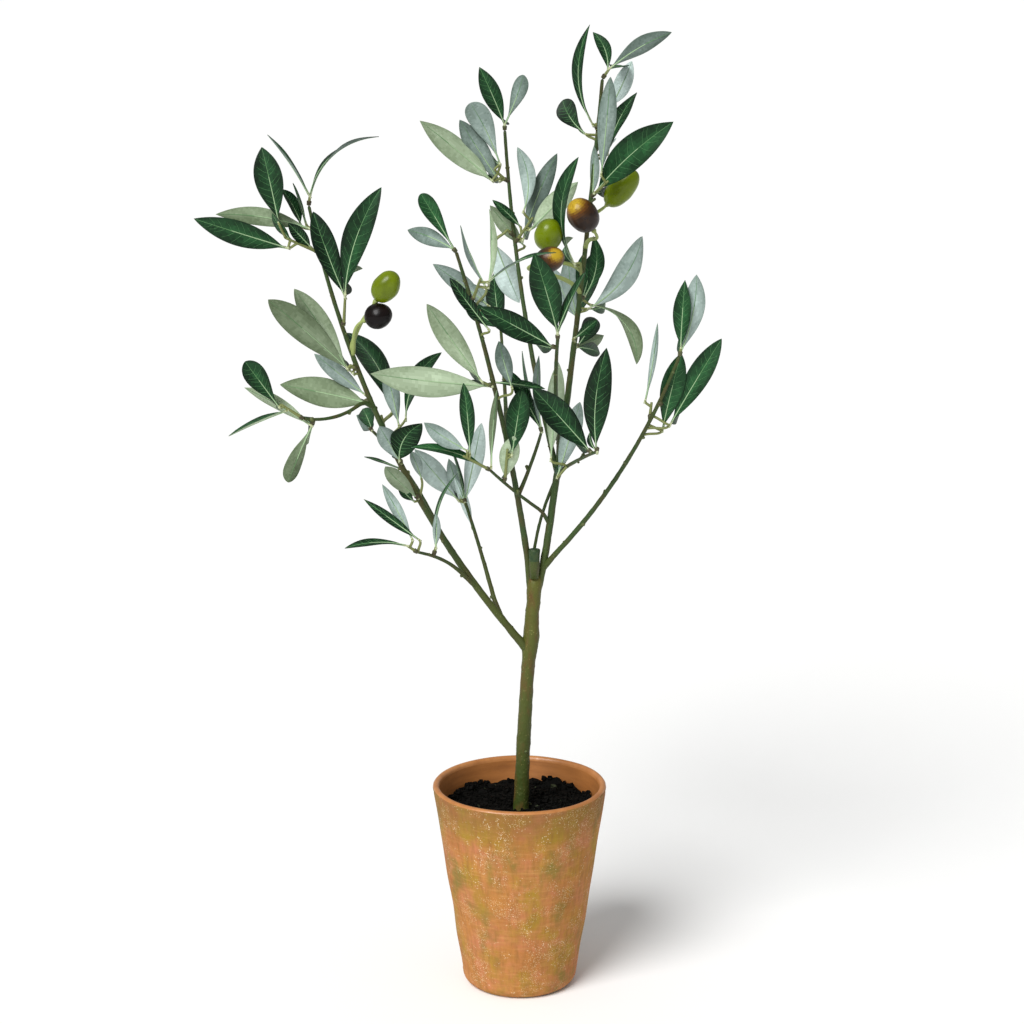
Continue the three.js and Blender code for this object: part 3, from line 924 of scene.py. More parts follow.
reach = np.linspace(0.985, 0.02, 60)[:, None, None] * fill_radius
flat_x, flat_y = np.moveaxis(reach * round_points(SLAB_AROUND), -1, 0)
top = np.stack([flat_x, flat_y, fill_height(flat_x, flat_y)], axis=-1)
under = np.array([0.3, 0.9])[:, None, None] * fill_radius * round_points(SLAB_AROUND)
foot = np.full((2, SLAB_AROUND, 1), fill_top - SLAB_DEPTH)
points, faces, _ = skins(np.concatenate([np.concatenate([under, foot], axis=-1), top])[None])
piece("soil_slab", "fill", [soil], points, faces, nodes=["fill"])

# %% [markdown]
# ## The crumbs
# Twenty-four hundred lumps lie on the slab, most of them small and a few large. Each is three rings of five
# points, pulled out of shape by seeded numbers and shaded flat, so that it looks broken and not rolled. One
# in thirty-seven is greenish.

# %% Crumbs
CRUMBS = 2400
GREEN_EACH = 37
green_soil = clouds((58, 66, 40), (30, 34, 22), 600.0, 0.2, 0.5)
green_crumb = finish("soil_green", green_soil, (0.7, 0.9), 0.3, 1200, 0.5 * MM, 0.5)
reach = np.sqrt(rng.uniform(0.02, 1, CRUMBS)) * 0.975
bearing = rng.uniform(0, 2 * np.pi, CRUMBS)
crumb_x, crumb_y = reach * fill_radius * np.cos(bearing), reach * fill_radius * np.sin(bearing)
crumb_size = rng.gamma(2.6, 0.38, CRUMBS).clip(0.4, 3.0) * MM
centre = np.stack([crumb_x, crumb_y, fill_height(crumb_x, crumb_y) + 0.3 * crumb_size], axis=-1)
level = np.array([-0.75, 0.0, 0.75])[:, None]
angle = np.arange(5) * 2 * np.pi / 5 + level
girth = np.sqrt(1 - level ** 2)
ball = np.stack([girth * np.cos(angle), girth * np.sin(angle), level + 0 * angle], axis=-1)
shape = rng.uniform(0.6, 1.25, (CRUMBS, 1, 1, 3)) * (1 + rng.uniform(-0.25, 0.25, (CRUMBS, 3, 5, 1)))
crumbs = centre[:, None, None] + crumb_size[:, None, None, None] * ball * shape
points, faces, marks = skins(crumbs)
looks = np.concatenate([mark[:, 0] % GREEN_EACH == 0 for mark in marks])
piece("soil_crumbs", "fill", [soil, green_crumb], points, faces, looks=looks, smooth=False)

# %% [markdown]
# ## The leaves: one blade
# An olive leaf is a narrow blade with a fold along its midrib. These are pressed cloth: dark and smooth on
# top with pale veins, pale and dull below. Here a blade is a function of two numbers, how far along it and
# how far to the side, so the same function places its skin, its midrib and its side veins. Each blade is
# closed and a little under half a millimetre thick.

# %% Blade function
STALK_SHARE = 0.05
STALK_HALF_WIDTH = 0.6 * MM
WAVES_ALONG = 1.4
TWIST_FROM = 0.4
FOLD_POWER = 1.15


def half_width(blades, along):
    """Half the blade's width: a power of the way from the stalk times a power of the way to the tip."""
    past = np.clip((along - STALK_SHARE) / (1 - STALK_SHARE), 0, 1)
    base_power, tip_power = blades["base_power"][:, None, None], blades["tip_power"][:, None, None]
    peak = base_power / (base_power + tip_power)
    shape = past ** base_power * (1 - past) ** tip_power / (peak ** base_power * (1 - peak) ** tip_power)
    return np.maximum(blades["width"][:, None, None] / 2 * shape, STALK_HALF_WIDTH * (1 - along ** 8))


def on_blades(blades, along, aside, lift):
    """Points on every blade: along is 0 to 1 from stalk to tip, aside -1 to 1 across, lift is in metres.

    The midline is an arc that bends away from the blade's top, plus a sideways bow times
    4 · along · (1 - along). Both halves rise from it by the fold, a slow wave runs along the edges, and all
    of it twists about the midline.
    """
    def each(key):
        return blades[key][:, None, None]
    length, arch = each("length"), each("arch")
    ahead, side, up, bow = (blades[key][:, None, None, :] for key in ("ahead", "side", "up", "bow"))
    bent = arch * along
    forward = length * np.sin(bent) / arch
    drop = -length * (1 - np.cos(bent)) / arch
    sway = length * 4 * along * (1 - along)
    middle = (blades["base"][:, None, None, :] + forward[..., None] * ahead + drop[..., None] * up
              + sway[..., None] * bow)
    rising = np.cos(bent)[..., None] * up + np.sin(bent)[..., None] * ahead
    turn = each("twist") * (along - TWIST_FROM)
    beside = np.cos(turn)[..., None] * side + np.sin(turn)[..., None] * rising
    rising = np.cos(turn)[..., None] * rising - np.sin(turn)[..., None] * side
    half = half_width(blades, along)
    wave = each("wave") * np.sin(2 * np.pi * (WAVES_ALONG * along + each("phase"))) * aside
    height = half * (each("fold") * np.abs(aside) ** FOLD_POWER + wave) + lift
    return middle + (half * aside)[..., None] * beside + height[..., None] * rising


print("a blade's stalk takes", STALK_SHARE, "of its length")

# %% [markdown]
# ## The leaves: the fans
# The leaves grow in fans, mostly in opposite pairs, where a short stalk plugs on a bough. Each spray of the
# frame gives the place and the direction of one fan. Below, a fan is written as a short word for each of
# its leaves:
#
# - the face that is turned to the front: T top, N narrowed top, E edge, A arching edge, M narrowed
#   underside, C curled underside, U underside;
# - the length, then the width after a stroke, both in millimetres, with an o where the leaf is broadest
#   near its tip;
# - the turn from the spray's axis in degrees, clockwise from the front;
# - how far its stalk starts along the axis (@) or back from it (<), and to the side (^), in millimetres;
# - how far its middle bows to the side (~), in hundredths of its length.
#
# The name of a tint holds for the undersides of the leaves after it. A crown that is random throughout
# would lose this tree's own outline, so the words set each leaf that shows from the front, and the leaves
# at the back have little more than a length and a turn.

# %% Fans
FANS = {
    "left": {
        "left_top": "grey E44/9-42@5 A57/14+37@3~-5 E26/7-25<12 N24/11-35<13^-3",
        "left_outer": "sage T45/17+50@30^7 U58/11-12@10^11~4 T58/15-5@18^-5 N20/10+30@18 T20/8+22@5^1",
        "left_fork": "sage T54/14-22@19 T68/16+13@21~-8",
        "left_mid_high": "sage U61/14+12@5^-3 U77/17+0^-3",
        "left_mid_low": "sage U62/18-8^-1 blue U42/10+17@3^3",
        "left_tuft": "grey T62/15-13@12^7~11 U36/10+2@1^9 T48/10+40@4^14~-12",
        "bend_high": "blue T29/17+18@2^-1~-16 U29/12-18 U20/7-12<17^12 E29/9-60<9^4",
        "bend_low": "mint U42/10+4 grey T19/6+4<1^-3",
        "low_left": "blue U38/7+24@8^5 T42/6+3@4^7 N38/8-34@8~4",
        "low_left_upright": "blue E47/11+2@5~-12 U24/5-12@4",
        "inner_left": "white U44/15-28@2^-4 U35/6-7<17^1 U52/12+24 blue U28/9-5@2^-2 E34/8-2",
        "far_left_tip": "mint T34/13o+19@16^-2 E38/13-58@11^-1 M46/13-3<7^-1",
        "far_left_drop": "sage M38/13o-3@2",
    },
    "centre": {
        "cross_left": "blue T44/9+51@17^3 U32/11+5@20^4 N48/8-11@2~6 sage M48/5+60^2",
        "cross_upright": "blue T42/14+4@18^3 grey U30/10-18@64 mint U30/12+7@1",
        "centre_left_low": "mint U76/19-18 sage U60/14+23@8 grey N31/8+164^3",
        "centre_left_mid": "blue T38/8+2<13^1 U44/11-12<2^10 grey M40/7+17@8^16",
        "centre_left_tip": "grey T38/10o+9@1 U30/10-23@1~5",
        "centre_left_front": "mint M45/7-14@15^6 grey E45/12+35@19^5~-8",
        "front_left": "grey T52/14+2",
        "front_up": "grey T52/17-11@4 N44/10+20@4",
        "right_front_up": "grey T62/17+1~-6",
        "right_front_left": "grey T51/17+3",
        "inner_tuft": "grey E50/9+2 M48/8+13 T42/9-12 mint U60/11+19<19^1 blue U48/12+31<31^2",
    },
    "top": {
        "upper_back_side": "mint U36/10+6<12 T26/6+1^7 white U43/16-158@5^-11",
        "upper_back_right": "blue U40/10-36@20^-7~10 grey U58/12-13@3^3~-4 mint U44/14+8@12^3",
        "upper_back_left": "mint U60/15-1@8^-6 blue U43/15o+20@12^5 grey U46/13+14@4^-3",
        "upper_back_tip": "blue T39/12-22@3 grey U33/10o+21@3",
        "leader_left": "sage N69/13+6@9^-4~-11",
        "leader_big": "grey T70/20-1@2 M30/8-37 blue U60/11-34@16^-6",
        "leader_high_right": "white U34/11+6@30 N46/12+7^7~-2",
        "leader_high_left": "sage N60/8+8@4^-2~-9 T25/13o-18<2^-7~-8",
        "leader_tip": "grey T25/8-56@5~12 M43/12+23@7~-1",
        "leader_right": "blue T38/10-34@3~9 U59/15-7^7~10 sage C46/11+92@4^7 T20/7+5<22^14",
    },
    "right": {
        "right_tip": "blue U48/13+3@1~5 T41/11-5@4",
        "right_low": "sage T51/14-23<14^12 T62/14-10<7^13",
        "right_inner": "blue U48/4+1@10^-4~3",
    },
    "back": {
        "back_top": "blue U50-16 T54+16 T36+0@14 U44-38",
        "back_right": "sage T46-14 U44+22 T40+50",
        "back_left": "grey U48-20 T50+12 U34-2@12 T42-44",
        "left_back": "grey U40-10 T42+10 U30+2",
    },
}
UNDER_TINTS = ["sage", "mint", "grey", "blue", "white"]
print({part: sum(len(written.split()) for written in fans.values()) for part, fans in FANS.items()}, "words")

# %% [markdown]
# ## The leaves: reading a word
# The face's letter says how far the blade is rolled about its own length, from its top at 0 degrees to its
# underside at 180, and how strongly it arches. The other facts are read by one pattern.

# %% Reading a word
ROLLS = {"T": 0, "N": 50, "E": 78, "A": 78, "M": 135, "C": 115, "U": 180}
ARCHES = {"T": 0.3, "N": 0.2, "E": 0.12, "A": 1.15, "M": 0.25, "C": 2.1, "U": 0.25}
LEAF_WORD = re.compile(
    r"([TNEAMCU])(\d+)(?:/(\d+)(o?))?([+-]\d+)(?:([@<])(\d+))?(?:\^(-?\d+))?(?:~(-?\d+))?")
print("a word reads as", LEAF_WORD.fullmatch("U58/11-12@10^11~4").groups())

# %% [markdown]
# ## The leaves: from a word to a blade
# A word fixes what can be seen of a leaf, and small seeded changes of lean, roll, arch and fold make no two
# blades alike. The chord is the straight line from a leaf's stalk to its tip. It keeps the written turn,
# however much the blade arches. Leaves at the back lean away from the front as far as the tree's depth has
# room for.

# %% From a word to a blade
FRONT = unit(np.array([0, -1, 0.23]))
CURL_TWIST = 1.5
FLATTEN = 0.5
BACK_LEAN = 0.91
DEPTH_ROOM = 0.13


def chord_of(spray, turn, length, behind):
    """The way from stalk to tip: the turned axis, laid partly flat to the front, or leaning to the back."""
    chord = math.cos(turn) * spray["axis"] + math.sin(turn) * spray["across"]
    chord = chord - FRONT * (FLATTEN * chord @ FRONT + rng.normal(0, 0.12))
    if behind:
        lean = min(BACK_LEAN, (DEPTH_ROOM - spray["base"][1]) / length)
        chord = unit(chord - FRONT * (chord @ FRONT)) * math.sqrt(1 - lean ** 2) - FRONT * lean
    return unit(chord)


def one_leaf(spray, word, tint, behind):
    """The facts of one blade, read from its word, with small seeded changes drawn in a fixed order."""
    face, size, width, broad, turn, way, start, beside, bow = LEAF_WORD.fullmatch(word).groups()
    turn = math.radians(float(turn))
    length = float(size) * MM
    steady = face in "EAC" and not behind
    outer = -1 if turn > 0 else 1
    chord = chord_of(spray, turn, length, behind)
    roll = math.radians(ROLLS[face] + rng.normal(0, 3 if steady else 8))
    facing = unit(FRONT - chord * (FRONT @ chord))
    clockwise = np.cross(chord, facing)
    up = math.cos(roll) * facing + math.sin(roll) * outer * clockwise
    arch = ARCHES[face] * rng.uniform(0.75, 1.25)
    ahead = math.cos(arch / 2) * chord + math.sin(arch / 2) * up
    up = math.cos(arch / 2) * up - math.sin(arch / 2) * chord
    along = float(start or 0) * (1 if way == "@" else -1)
    return {
        "base": spray["base"] + spray["axis"] * along * MM + spray["across"] * float(beside or 0) * MM,
        "ahead": ahead, "side": np.cross(up, ahead), "up": up, "arch": arch,
        "length": length * (arch / 2) / math.sin(arch / 2),
        "width": float(width) * MM if width else length * rng.uniform(0.22, 0.28),
        "bow": clockwise * (float(bow or 0) / 100 + rng.normal(0, 0.012)),
        "twist": CURL_TWIST * outer if face == "C" else rng.normal(0, 0.1 if steady else 0.3),
        "fold": rng.uniform(0.12, 0.4), "wave": rng.uniform(0.02, 0.1), "phase": rng.uniform(),
        "base_power": rng.uniform(1.5, 1.8) if broad else rng.uniform(0.9, 1.25),
        "tip_power": rng.uniform(0.55, 0.65) if broad else rng.uniform(0.8, 1.05),
        "tint": UNDER_TINTS.index(tint), "tone": rng.normal(0, 0.45)}


print("the crown has room for", DEPTH_ROOM, "m behind the pot's middle")

# %% [markdown]
# ## The leaves: the whole crown
# The words tell only what shows from the front. Behind most broad leaves grows a shorter one, turned edge on
# to the front, so that the crown is full from its sides too and its outline from the front stays as it is.

# %% The whole crown
BROAD_FROM = 12
COMPANION_WIDTHS = (9, 12)


def grow(fans, behind):
    """All blades of some fans, as one array for each fact."""
    leaves = []
    for spray_name, written in fans.items():
        spray = sprays[spray_name]
        for word in written.split():
            if word in UNDER_TINTS:
                tint = word
                continue
            leaves.append(one_leaf(spray, word, tint, behind))
            found = LEAF_WORD.fullmatch(word)
            face, size, width = found.group(1, 2, 3)
            size = int(size) * 3 // 4
            has_room = spray["base"][1] + size * MM < DEPTH_ROOM
            if not behind and has_room and face not in "EAC" and int(width or 0) >= BROAD_FROM:
                companion = f"E{size}/{rng.integers(*COMPANION_WIDTHS)}" + word[found.start(5):]
                leaves.append(one_leaf(spray, companion, tint, True))
    return {key: np.array([leaf[key] for leaf in leaves]) for key in leaves[0]}


crown = {part: grow(fans, part == "back") for part, fans in FANS.items()}
print({part: len(blades["length"]) for part, blades in crown.items()}, "leaves")

# %% [markdown]
# ## The leaves: their finishes
# The cloth is printed: a leaf's top is darker at its edges and paler beside the midrib, and its underside
# pales towards the stalk. A picture or a noise pattern would smear on so many small faces, so each finish
# comes as a ladder of plain shades, from dark to pale, and only the grain is left to the nodes.

# %% Leaf finishes
def ladder(dark, pale, rungs):
    """Plain colours at even steps between a dark one and a pale one, given as 0 to 255 display values."""
    return [tuple(np.array(dark) + (np.array(pale) - dark) * step / (rungs - 1)) for step in range(rungs)]


def shades(name, colours, rough, gloss, grain_depth):
    """One finish for each of some plain colours."""
    return [finish(f"{name}_{rung}", paint(*colour), rough, gloss, LEAF_GRAIN, grain_depth)
            for rung, colour in enumerate(colours)]


LEAF_GRAIN = 1500
UNDER_ROUGH = (0.55, 0.75)
RIB_ROUGH = (0.5, 0.65)
STALK_ROUGH = (0.45, 0.6)
TOP_LADDER = ladder((2, 24, 8), (50, 108, 60), 10)
GREEN_LADDER = ladder((64, 80, 50), (202, 220, 190), 16)
GREY_LADDER = ladder((62, 78, 68), (216, 234, 230), 16)
leaf_finishes = (shades("leaf_top", TOP_LADDER, (0.38, 0.55), 0.2, 0.15 * MM)
                 + shades("leaf_under_green", GREEN_LADDER, UNDER_ROUGH, 0.2, 0.25 * MM)
                 + shades("leaf_under_grey", GREY_LADDER, UNDER_ROUGH, 0.2, 0.25 * MM))
vein_finish = finish("leaf_vein", paint(78, 126, 78), RIB_ROUGH, 0.3, LEAF_GRAIN, 0.1 * MM)
rib_finish = finish("leaf_rib", paint(160, 190, 146), RIB_ROUGH, 0.3, LEAF_GRAIN, 0.1 * MM)
rib_tip_finish = finish("leaf_rib_tip", paint(100, 144, 94), RIB_ROUGH, 0.3, LEAF_GRAIN, 0.1 * MM)
plug_finish = finish("leaf_plug", paint(184, 192, 152), STALK_ROUGH, 0.4, 1200, 0.1 * MM)
stalk_finish = finish("leaf_stalk", paint(118, 126, 74), STALK_ROUGH, 0.35, 1200, 0.1 * MM)
print(len(leaf_finishes), "leaf shades")

# %% [markdown]
# ## The leaves: dealing the shades
# Each face of a blade takes the rung that a short formula gives it. The formula knows only where the face
# lies on its blade, so the print follows the leaf however it is bent, and each tint starts from a middle
# rung of its own.

# %% Dealing the shades
TOP_RUNG = 3.8
# for each of UNDER_TINTS, whether it is a grey and its middle rung
TINT_IS_GREY = np.array([0, 0, 1, 1, 1])
TINT_RUNG = np.array([6.6, 10.4, 5.4, 8.2, 13.6])


def rung_of(blades, item, along, aside, is_top):
    """The shade of each face, as its place in leaf_finishes.

    Top rung = its middle + a pale band beside the midrib - dark edges + slow waves along the blade.
    Underside rung = its middle + a pale band that fades to the tip - darker edges and tip + the waves.
    A little seeded speckle blurs the steps between the rungs.
    """
    phase, tone, tint = (blades[key][item] for key in ("phase", "tone", "tint"))
    speckle = rng.uniform(-0.7, 0.7, len(item))
    waves = (0.6 * np.sin(9 * along + 2.5 * aside + 40 * phase)
             + 0.4 * np.sin(23 * along - 5 * aside + 80 * phase))
    band = np.exp(-(aside / 0.3) ** 2)
    top = TOP_RUNG + 1.4 * band - 2.0 * np.abs(aside) ** 3 - 0.6 * along
    below = TINT_RUNG[tint] + 2.6 * band * (1 - along) - 1.8 * np.abs(aside) ** 4 - 2 * along ** 3
    varied = 2.2 * tone + waves + speckle
    top_rung = np.clip(np.round(top + varied), 0, len(TOP_LADDER) - 1)
    below_rung = np.clip(np.round(below + varied), 0, len(GREEN_LADDER) - 1)
    first_below = len(TOP_LADDER) + TINT_IS_GREY[tint] * len(GREEN_LADDER)
    return np.where(is_top, top_rung, first_below + below_rung)


print("middle rungs:", dict(zip(UNDER_TINTS, TINT_RUNG.tolist())))

# %% [markdown]
# ## The leaves: blades
# Each blade is one closed skin of nearly fourteen hundred faces: over its top from one edge to the other,
# then back along its underside. The rings lie closer together at both ends, where the outline turns
# fastest.

# %% Blades
BLADE_STEPS = 56
HALF_COLUMNS = 12
HALF_THICKNESS = 0.22 * MM
ring_along = (1 - np.cos(np.linspace(0.02, 0.985, BLADE_STEPS) * np.pi)) / 2
half_ring = np.sin(np.linspace(np.pi / 2, -np.pi / 2, HALF_COLUMNS + 1))
ring_aside = np.concatenate([half_ring, half_ring[-2:0:-1]])
ring_sides = np.concatenate([np.ones(HALF_COLUMNS + 1), -np.ones(HALF_COLUMNS - 1)])


def skin_lift(aside):
    """Half the blade's thickness at a place aside: full over the middle and nothing at the edge."""
    return HALF_THICKNESS * np.sqrt(np.clip(1 - aside ** 4, 0, 1))


for part, blades in crown.items():
    lift = (ring_sides * skin_lift(ring_aside))[None, None, :]
    rings = on_blades(blades, ring_along[None, :, None], ring_aside[None, None, :], lift)
    points, faces, marks = skins(rings)
    looks = np.concatenate([
        rung_of(blades, item, ring_along[row], ring_aside[column], column < HALF_COLUMNS)
        for item, row, column in (mark.T for mark in marks)])
    piece("leaves_" + part, "leaf_top", leaf_finishes, points, faces, looks=looks,
          nodes=["spray_" + name for name in FANS[part]])

# %% [markdown]
# ## The leaves: veins
# Pale veins are what makes these leaves read as leaves. They are thin raised ribs: one midrib on each face,
# and side veins that leave it at a slant and fade before the edge. Ribs catch the light as the pressed ones
# do, which lines drawn in a material would not.

# %% Veins
SIDE_VEINS = 9
RIB_STEPS = 24
VEIN_STEPS = 8
RIB_TIP_FROM = 0.55


def rib_rings(blades, along, aside, radius, face):
    """Thin four-sided ribs laid on the blades along a line of (along, aside) pairs, on the given face."""
    lift = face * (skin_lift(aside) + 0.2 * radius)
    along, aside, lift = (np.broadcast_to(line, (len(blades["length"]), line.shape[-1]))[:, :, None]
                          for line in (along, aside, lift))
    return pipes(on_blades(blades, along, aside, lift)[:, :, 0], radius, 4)


rib_sets, vein_sets = [], []
along = np.linspace(0.03, 0.97, RIB_STEPS)
step = np.linspace(0, 1, VEIN_STEPS)
for blades in crown.values():
    rib_sets.append(skins(rib_rings(blades, along, 0 * along, (0.42 - 0.34 * along) * MM, 1)))
    rib_sets.append(skins(rib_rings(blades, along, 0 * along, (0.46 - 0.4 * along) * MM, -1)))
    count = len(blades["length"])
    for number in range(SIDE_VEINS):
        for hand in (-1, 1):
            order = number + 0.25 * (hand + 1) + rng.uniform(-0.22, 0.22, (count, 1))
            start = 0.12 + 0.74 * order / SIDE_VEINS
            sweep = rng.uniform(0.06, 0.12, (count, 1))
            reach = rng.uniform(0.6, 0.95, (count, 1))
            radius = (0.13 - 0.08 * step) * MM
            vein = rib_rings(blades, start + sweep * step ** 1.3, hand * reach * step, radius, 1)
            vein_sets.append(skins(vein))
rib_looks = np.concatenate([marks[kind][:, 1] > RIB_TIP_FROM * RIB_STEPS for kind in (0, 1)
                            for *_, marks in rib_sets])
piece("leaf_ribs", "leaf_vein", [rib_finish, rib_tip_finish], *joined(rib_sets), looks=rib_looks)
piece("leaf_side_veins", "leaf_vein", [vein_finish], *joined(vein_sets))

# %% [markdown]
# ## The leaves: plugs
# A real leaf's stalk tapers into its midrib. These leaves have a pale moulded plug there, thicker than a
# live stalk, that follows the first sixth of the blade's own line and thins out along it.

# %% Plugs
PLUG_STEPS = 10
along = np.linspace(-0.03, 0.16, PLUG_STEPS)[None, :, None]
plug_radius = (0.85 - 0.5 * np.linspace(0, 1, PLUG_STEPS) ** 0.6) * MM
plug_sets = [skins(pipes(on_blades(blades, along, 0 * along, 0 * along)[:, :, 0], plug_radius, 8))
             for blades in crown.values()]
piece("leaf_plugs", "stalk", [plug_finish], *joined(plug_sets))

# %% [markdown]
# ## The leaves: stalks
# Leaf bases that do not lie on a bough need something to grow from. Each fan has a thin green axis of its
# own, and from the nearest point of a bough or an axis that lies behind the leaf, a curved stalk runs
# smoothly into the plug. A straight stalk would meet the blade at a corner.

# %% Stalks
AXIS_STEPS = 14
STALK_STEPS = 14
LONGEST_AXIS = 22
SHORTEST_AXIS = 2
NO_STALK_WITHIN = 0.8 * MM
# how much nearer a support counts when it lies behind the leaf, and how far a stalk leans to the leaf's way
BEHIND_COUNTS = 1.7
LEAN_AHEAD = 0.4

fan_axes = []
for fans in FANS.values():
    for spray_name, written in fans.items():
        spray = sprays[spray_name]
        starts = [float(start) for start in re.findall(r"@(\d+)", written)]
        reach = min(max([*starts, SHORTEST_AXIS]), LONGEST_AXIS) * MM
        fan_axes.append(spray["base"] + spray["axis"] * np.linspace(0, reach, AXIS_STEPS)[:, None])
fan_axes = np.array(fan_axes)
axis_skins = skins(pipes(fan_axes, np.linspace(1.05, 0.75, AXIS_STEPS) * MM, 8))

supports = np.concatenate([all_limb_points, fan_axes.reshape(-1, 3)])
bases = np.concatenate([blades["base"] for blades in crown.values()])
heads = np.concatenate([blades["ahead"] for blades in crown.values()])
gap = bases[:, None] - supports[None]
distance = np.linalg.norm(gap, axis=-1)
behind_leaf = (gap * heads[:, None]).sum(axis=-1) / np.maximum(distance, 0.1 * MM)
roots = supports[((distance + 1 * MM) * (BEHIND_COUNTS - behind_leaf)).argmin(axis=1)]
reach = np.linalg.norm(roots - bases, axis=1)
far = reach > NO_STALK_WITHIN
leaving = unit(unit(bases[far] - roots[far]) + LEAN_AHEAD * heads[far])
stalks = smooth_lines(roots[far], leaving, bases[far] + 0.5 * MM * heads[far], heads[far], STALK_STEPS)
stalk_skins = skins(pipes(stalks, np.linspace(0.85, 0.75, STALK_STEPS) * MM, 8))
piece("leaf_stalks", "stalk", [stalk_finish], *joined([axis_skins, stalk_skins]))
print("stalks:", int(far.sum()), "longest", round(float(reach.max()) / MM, 1), "mm")

# %% [markdown]
# ## The twigs
# Each fan plugs on a short brown twig that leaves the bough towards it. It swells a little at its end,
# where the fan is pushed in. One outline of radii serves all of them.

# %% Twigs
TWIG_RADII = np.array([1.2, 1.3, 1.35, 1.35, 1.4, 1.5, 1.45, 1.1]) * MM
PAST_BASE = 2.5 * MM
TWIG_ROUGH = (0.5, 0.65)
twig_brown = clouds((76, 82, 48), (62, 52, 34), 260.0, 0.15, 0.5)
twig_finish = finish("twig", twig_brown, TWIG_ROUGH, 0.4, 900, 0.2 * MM)
share = np.linspace(0, 1, len(TWIG_RADII))[:, None]
twig_paths = []
for spray in sprays.values():
    path = limb_paths[spray["limb"]]
    root = path[np.linalg.norm(path - spray["base"], axis=1).argmin()]
    twig_paths.append(root + (spray["base"] + spray["axis"] * PAST_BASE - root) * share)
points, faces, _ = skins(pipes(np.array(twig_paths), TWIG_RADII, 10))
piece("twig_plugs", "twig", [twig_finish], points, faces)

# %% [markdown]
# ## The scars
# More leaves once grew on this tree, and where they are missing a short green nub is left. The nubs sit
# along the limbs every couple of centimetres, each turned further round than the one before, as leaves are.
# Only one bough at the back is bare.

# %% Scars
SCAR_RADII = np.array([1.3, 1.2, 1.0, 0.95, 1.0, 0.6]) * MM
SCAR_GAP = 24 * MM
FIRST_SCAR = 14 * MM
LAST_SCAR = 6 * MM
SCAR_SHIFT = 8 * MM
SCAR_TURN = 2.4
BARE_LIMB = "back_bough"
scar_green = clouds((92, 102, 54), (70, 80, 46), 320.0, 0.2, 0.5)
scar_finish = finish("twig_scar", scar_green, TWIG_ROUGH, 0.4, 900, 0.2 * MM)
share_out = np.linspace(0, 1.15, len(SCAR_RADII))[:, None]
scar_paths, scar_radii = [], []
for name in limb_names:
    if name == BARE_LIMB:
        continue
    path = limb_paths[name]
    across, outward, forward = frames_along(path)
    length = travelled(path)[-1]
    for count, share in enumerate(np.arange(FIRST_SCAR, length - LAST_SCAR, SCAR_GAP) / length):
        step = int((share + rng.uniform(-1, 1) * SCAR_SHIFT / length) * (LIMB_STEPS - 1))
        bearing = count * SCAR_TURN + rng.uniform(-0.6, 0.6)
        spoke = math.cos(bearing) * across[step] + math.sin(bearing) * outward[step]
        way = unit(spoke + 0.8 * forward[step])
        reach = limb_radii[name][step] + rng.gamma(1.2, 0.7) * MM
        scar_paths.append(path[step] + way * reach * share_out)
        scar_radii.append(SCAR_RADII * rng.uniform(0.7, 1.25))
points, faces, _ = skins(pipes(np.array(scar_paths), np.array(scar_radii), 8))
piece("twig_scars", "twig", [scar_finish], points, faces)

# %% [markdown]
# ## The olives' paint
# Six olives sit among the leaves: three green, one nearly black and two bronze. They are painted plastic
# with a soft gloss. The green and the black ones are a little cloudy. The bronze ones carry painted light:
# gold as a painted highlight on one upper side, falling off to dark brown painted shade on the other. Nodes
# could paint that only with a different centre for each olive, so they take a ladder of plain shades, as
# the leaves do.

# %% Olive finishes
OLIVE_GREEN, OLIVE_BLACK, OLIVE_BRONZE = 0, 1, 2
# the bronze rungs run from dark brown painted shade up to a gold painted highlight
BRONZE_SHADE_TO_HIGHLIGHT = ladder((34, 20, 12), (88, 52, 8), 7) + ladder((104, 70, 8), (176, 146, 34), 5)
DARK_ROUGH = (0.26, 0.34)
green_paint = clouds((104, 122, 0), (80, 94, 0), 48.0, 0.16, 0.56)
black_paint = clouds((20, 11, 9), (6, 4, 4), 48.0, 0.16, 0.5)
olive_finishes = [
    finish("olive_green", green_paint, (0.24, 0.36), 0.3, 900, 0.1 * MM),
    finish("olive_black", black_paint, DARK_ROUGH, 0.18, 900, 0.1 * MM),
    *shades("olive_bronze_painted_light", BRONZE_SHADE_TO_HIGHLIGHT, DARK_ROUGH, 0.3, 0.1 * MM)]


# painted light on the bronze olives: each face takes a rung from painted shade to painted highlight
def bronze_highlight_looks(points, faces, middle, highlight_side):
    """A painted highlight of gold where a face is turned to highlight_side, falling off to dark brown
    painted shade, with a fine seeded speckle.
    """
    turned = unit(points[faces].mean(axis=1) - middle) @ unit(np.array(highlight_side))
    rung = (len(BRONZE_SHADE_TO_HIGHLIGHT) - 1) * np.clip((turned + 0.15) / 1.1, 0, 1) ** 2.6
    rung = rung + rng.normal(0, 0.45, len(faces))
    return OLIVE_BRONZE + np.clip(np.round(rung), 0, len(BRONZE_SHADE_TO_HIGHLIGHT) - 1).astype(int)


print(len(olive_finishes), "olive finishes")

# %% [markdown]
# ## The olives' shape
# Each olive is a plump egg, turned about its own axis, with a faint ripple so that it does not look
# machined. Its rings are a pipe of changing radius, as a limb's are.

# %% Olive shape
OLIVE_STEPS = 22
OLIVE_AROUND = 28


def olive_rings(middle, axis, length, width):
    """Rings of an egg: radius = sin(turn) ^ 0.92, a little fuller to one end, and a ripple on it."""
    turn = np.linspace(0.04, 0.985, OLIVE_STEPS) * np.pi
    line = (middle - np.cos(turn)[:, None] * length / 2 * axis)[None]
    radius = np.sin(turn) ** 0.92 * (1 + 0.05 * np.cos(turn)) * width / 2
    rings = pipes(line, radius, OLIVE_AROUND)
    return swollen(line, rings, 0.02 * ripple(rings, 9 * MM))


print("an olive has", OLIVE_STEPS, "rings of", OLIVE_AROUND, "points")
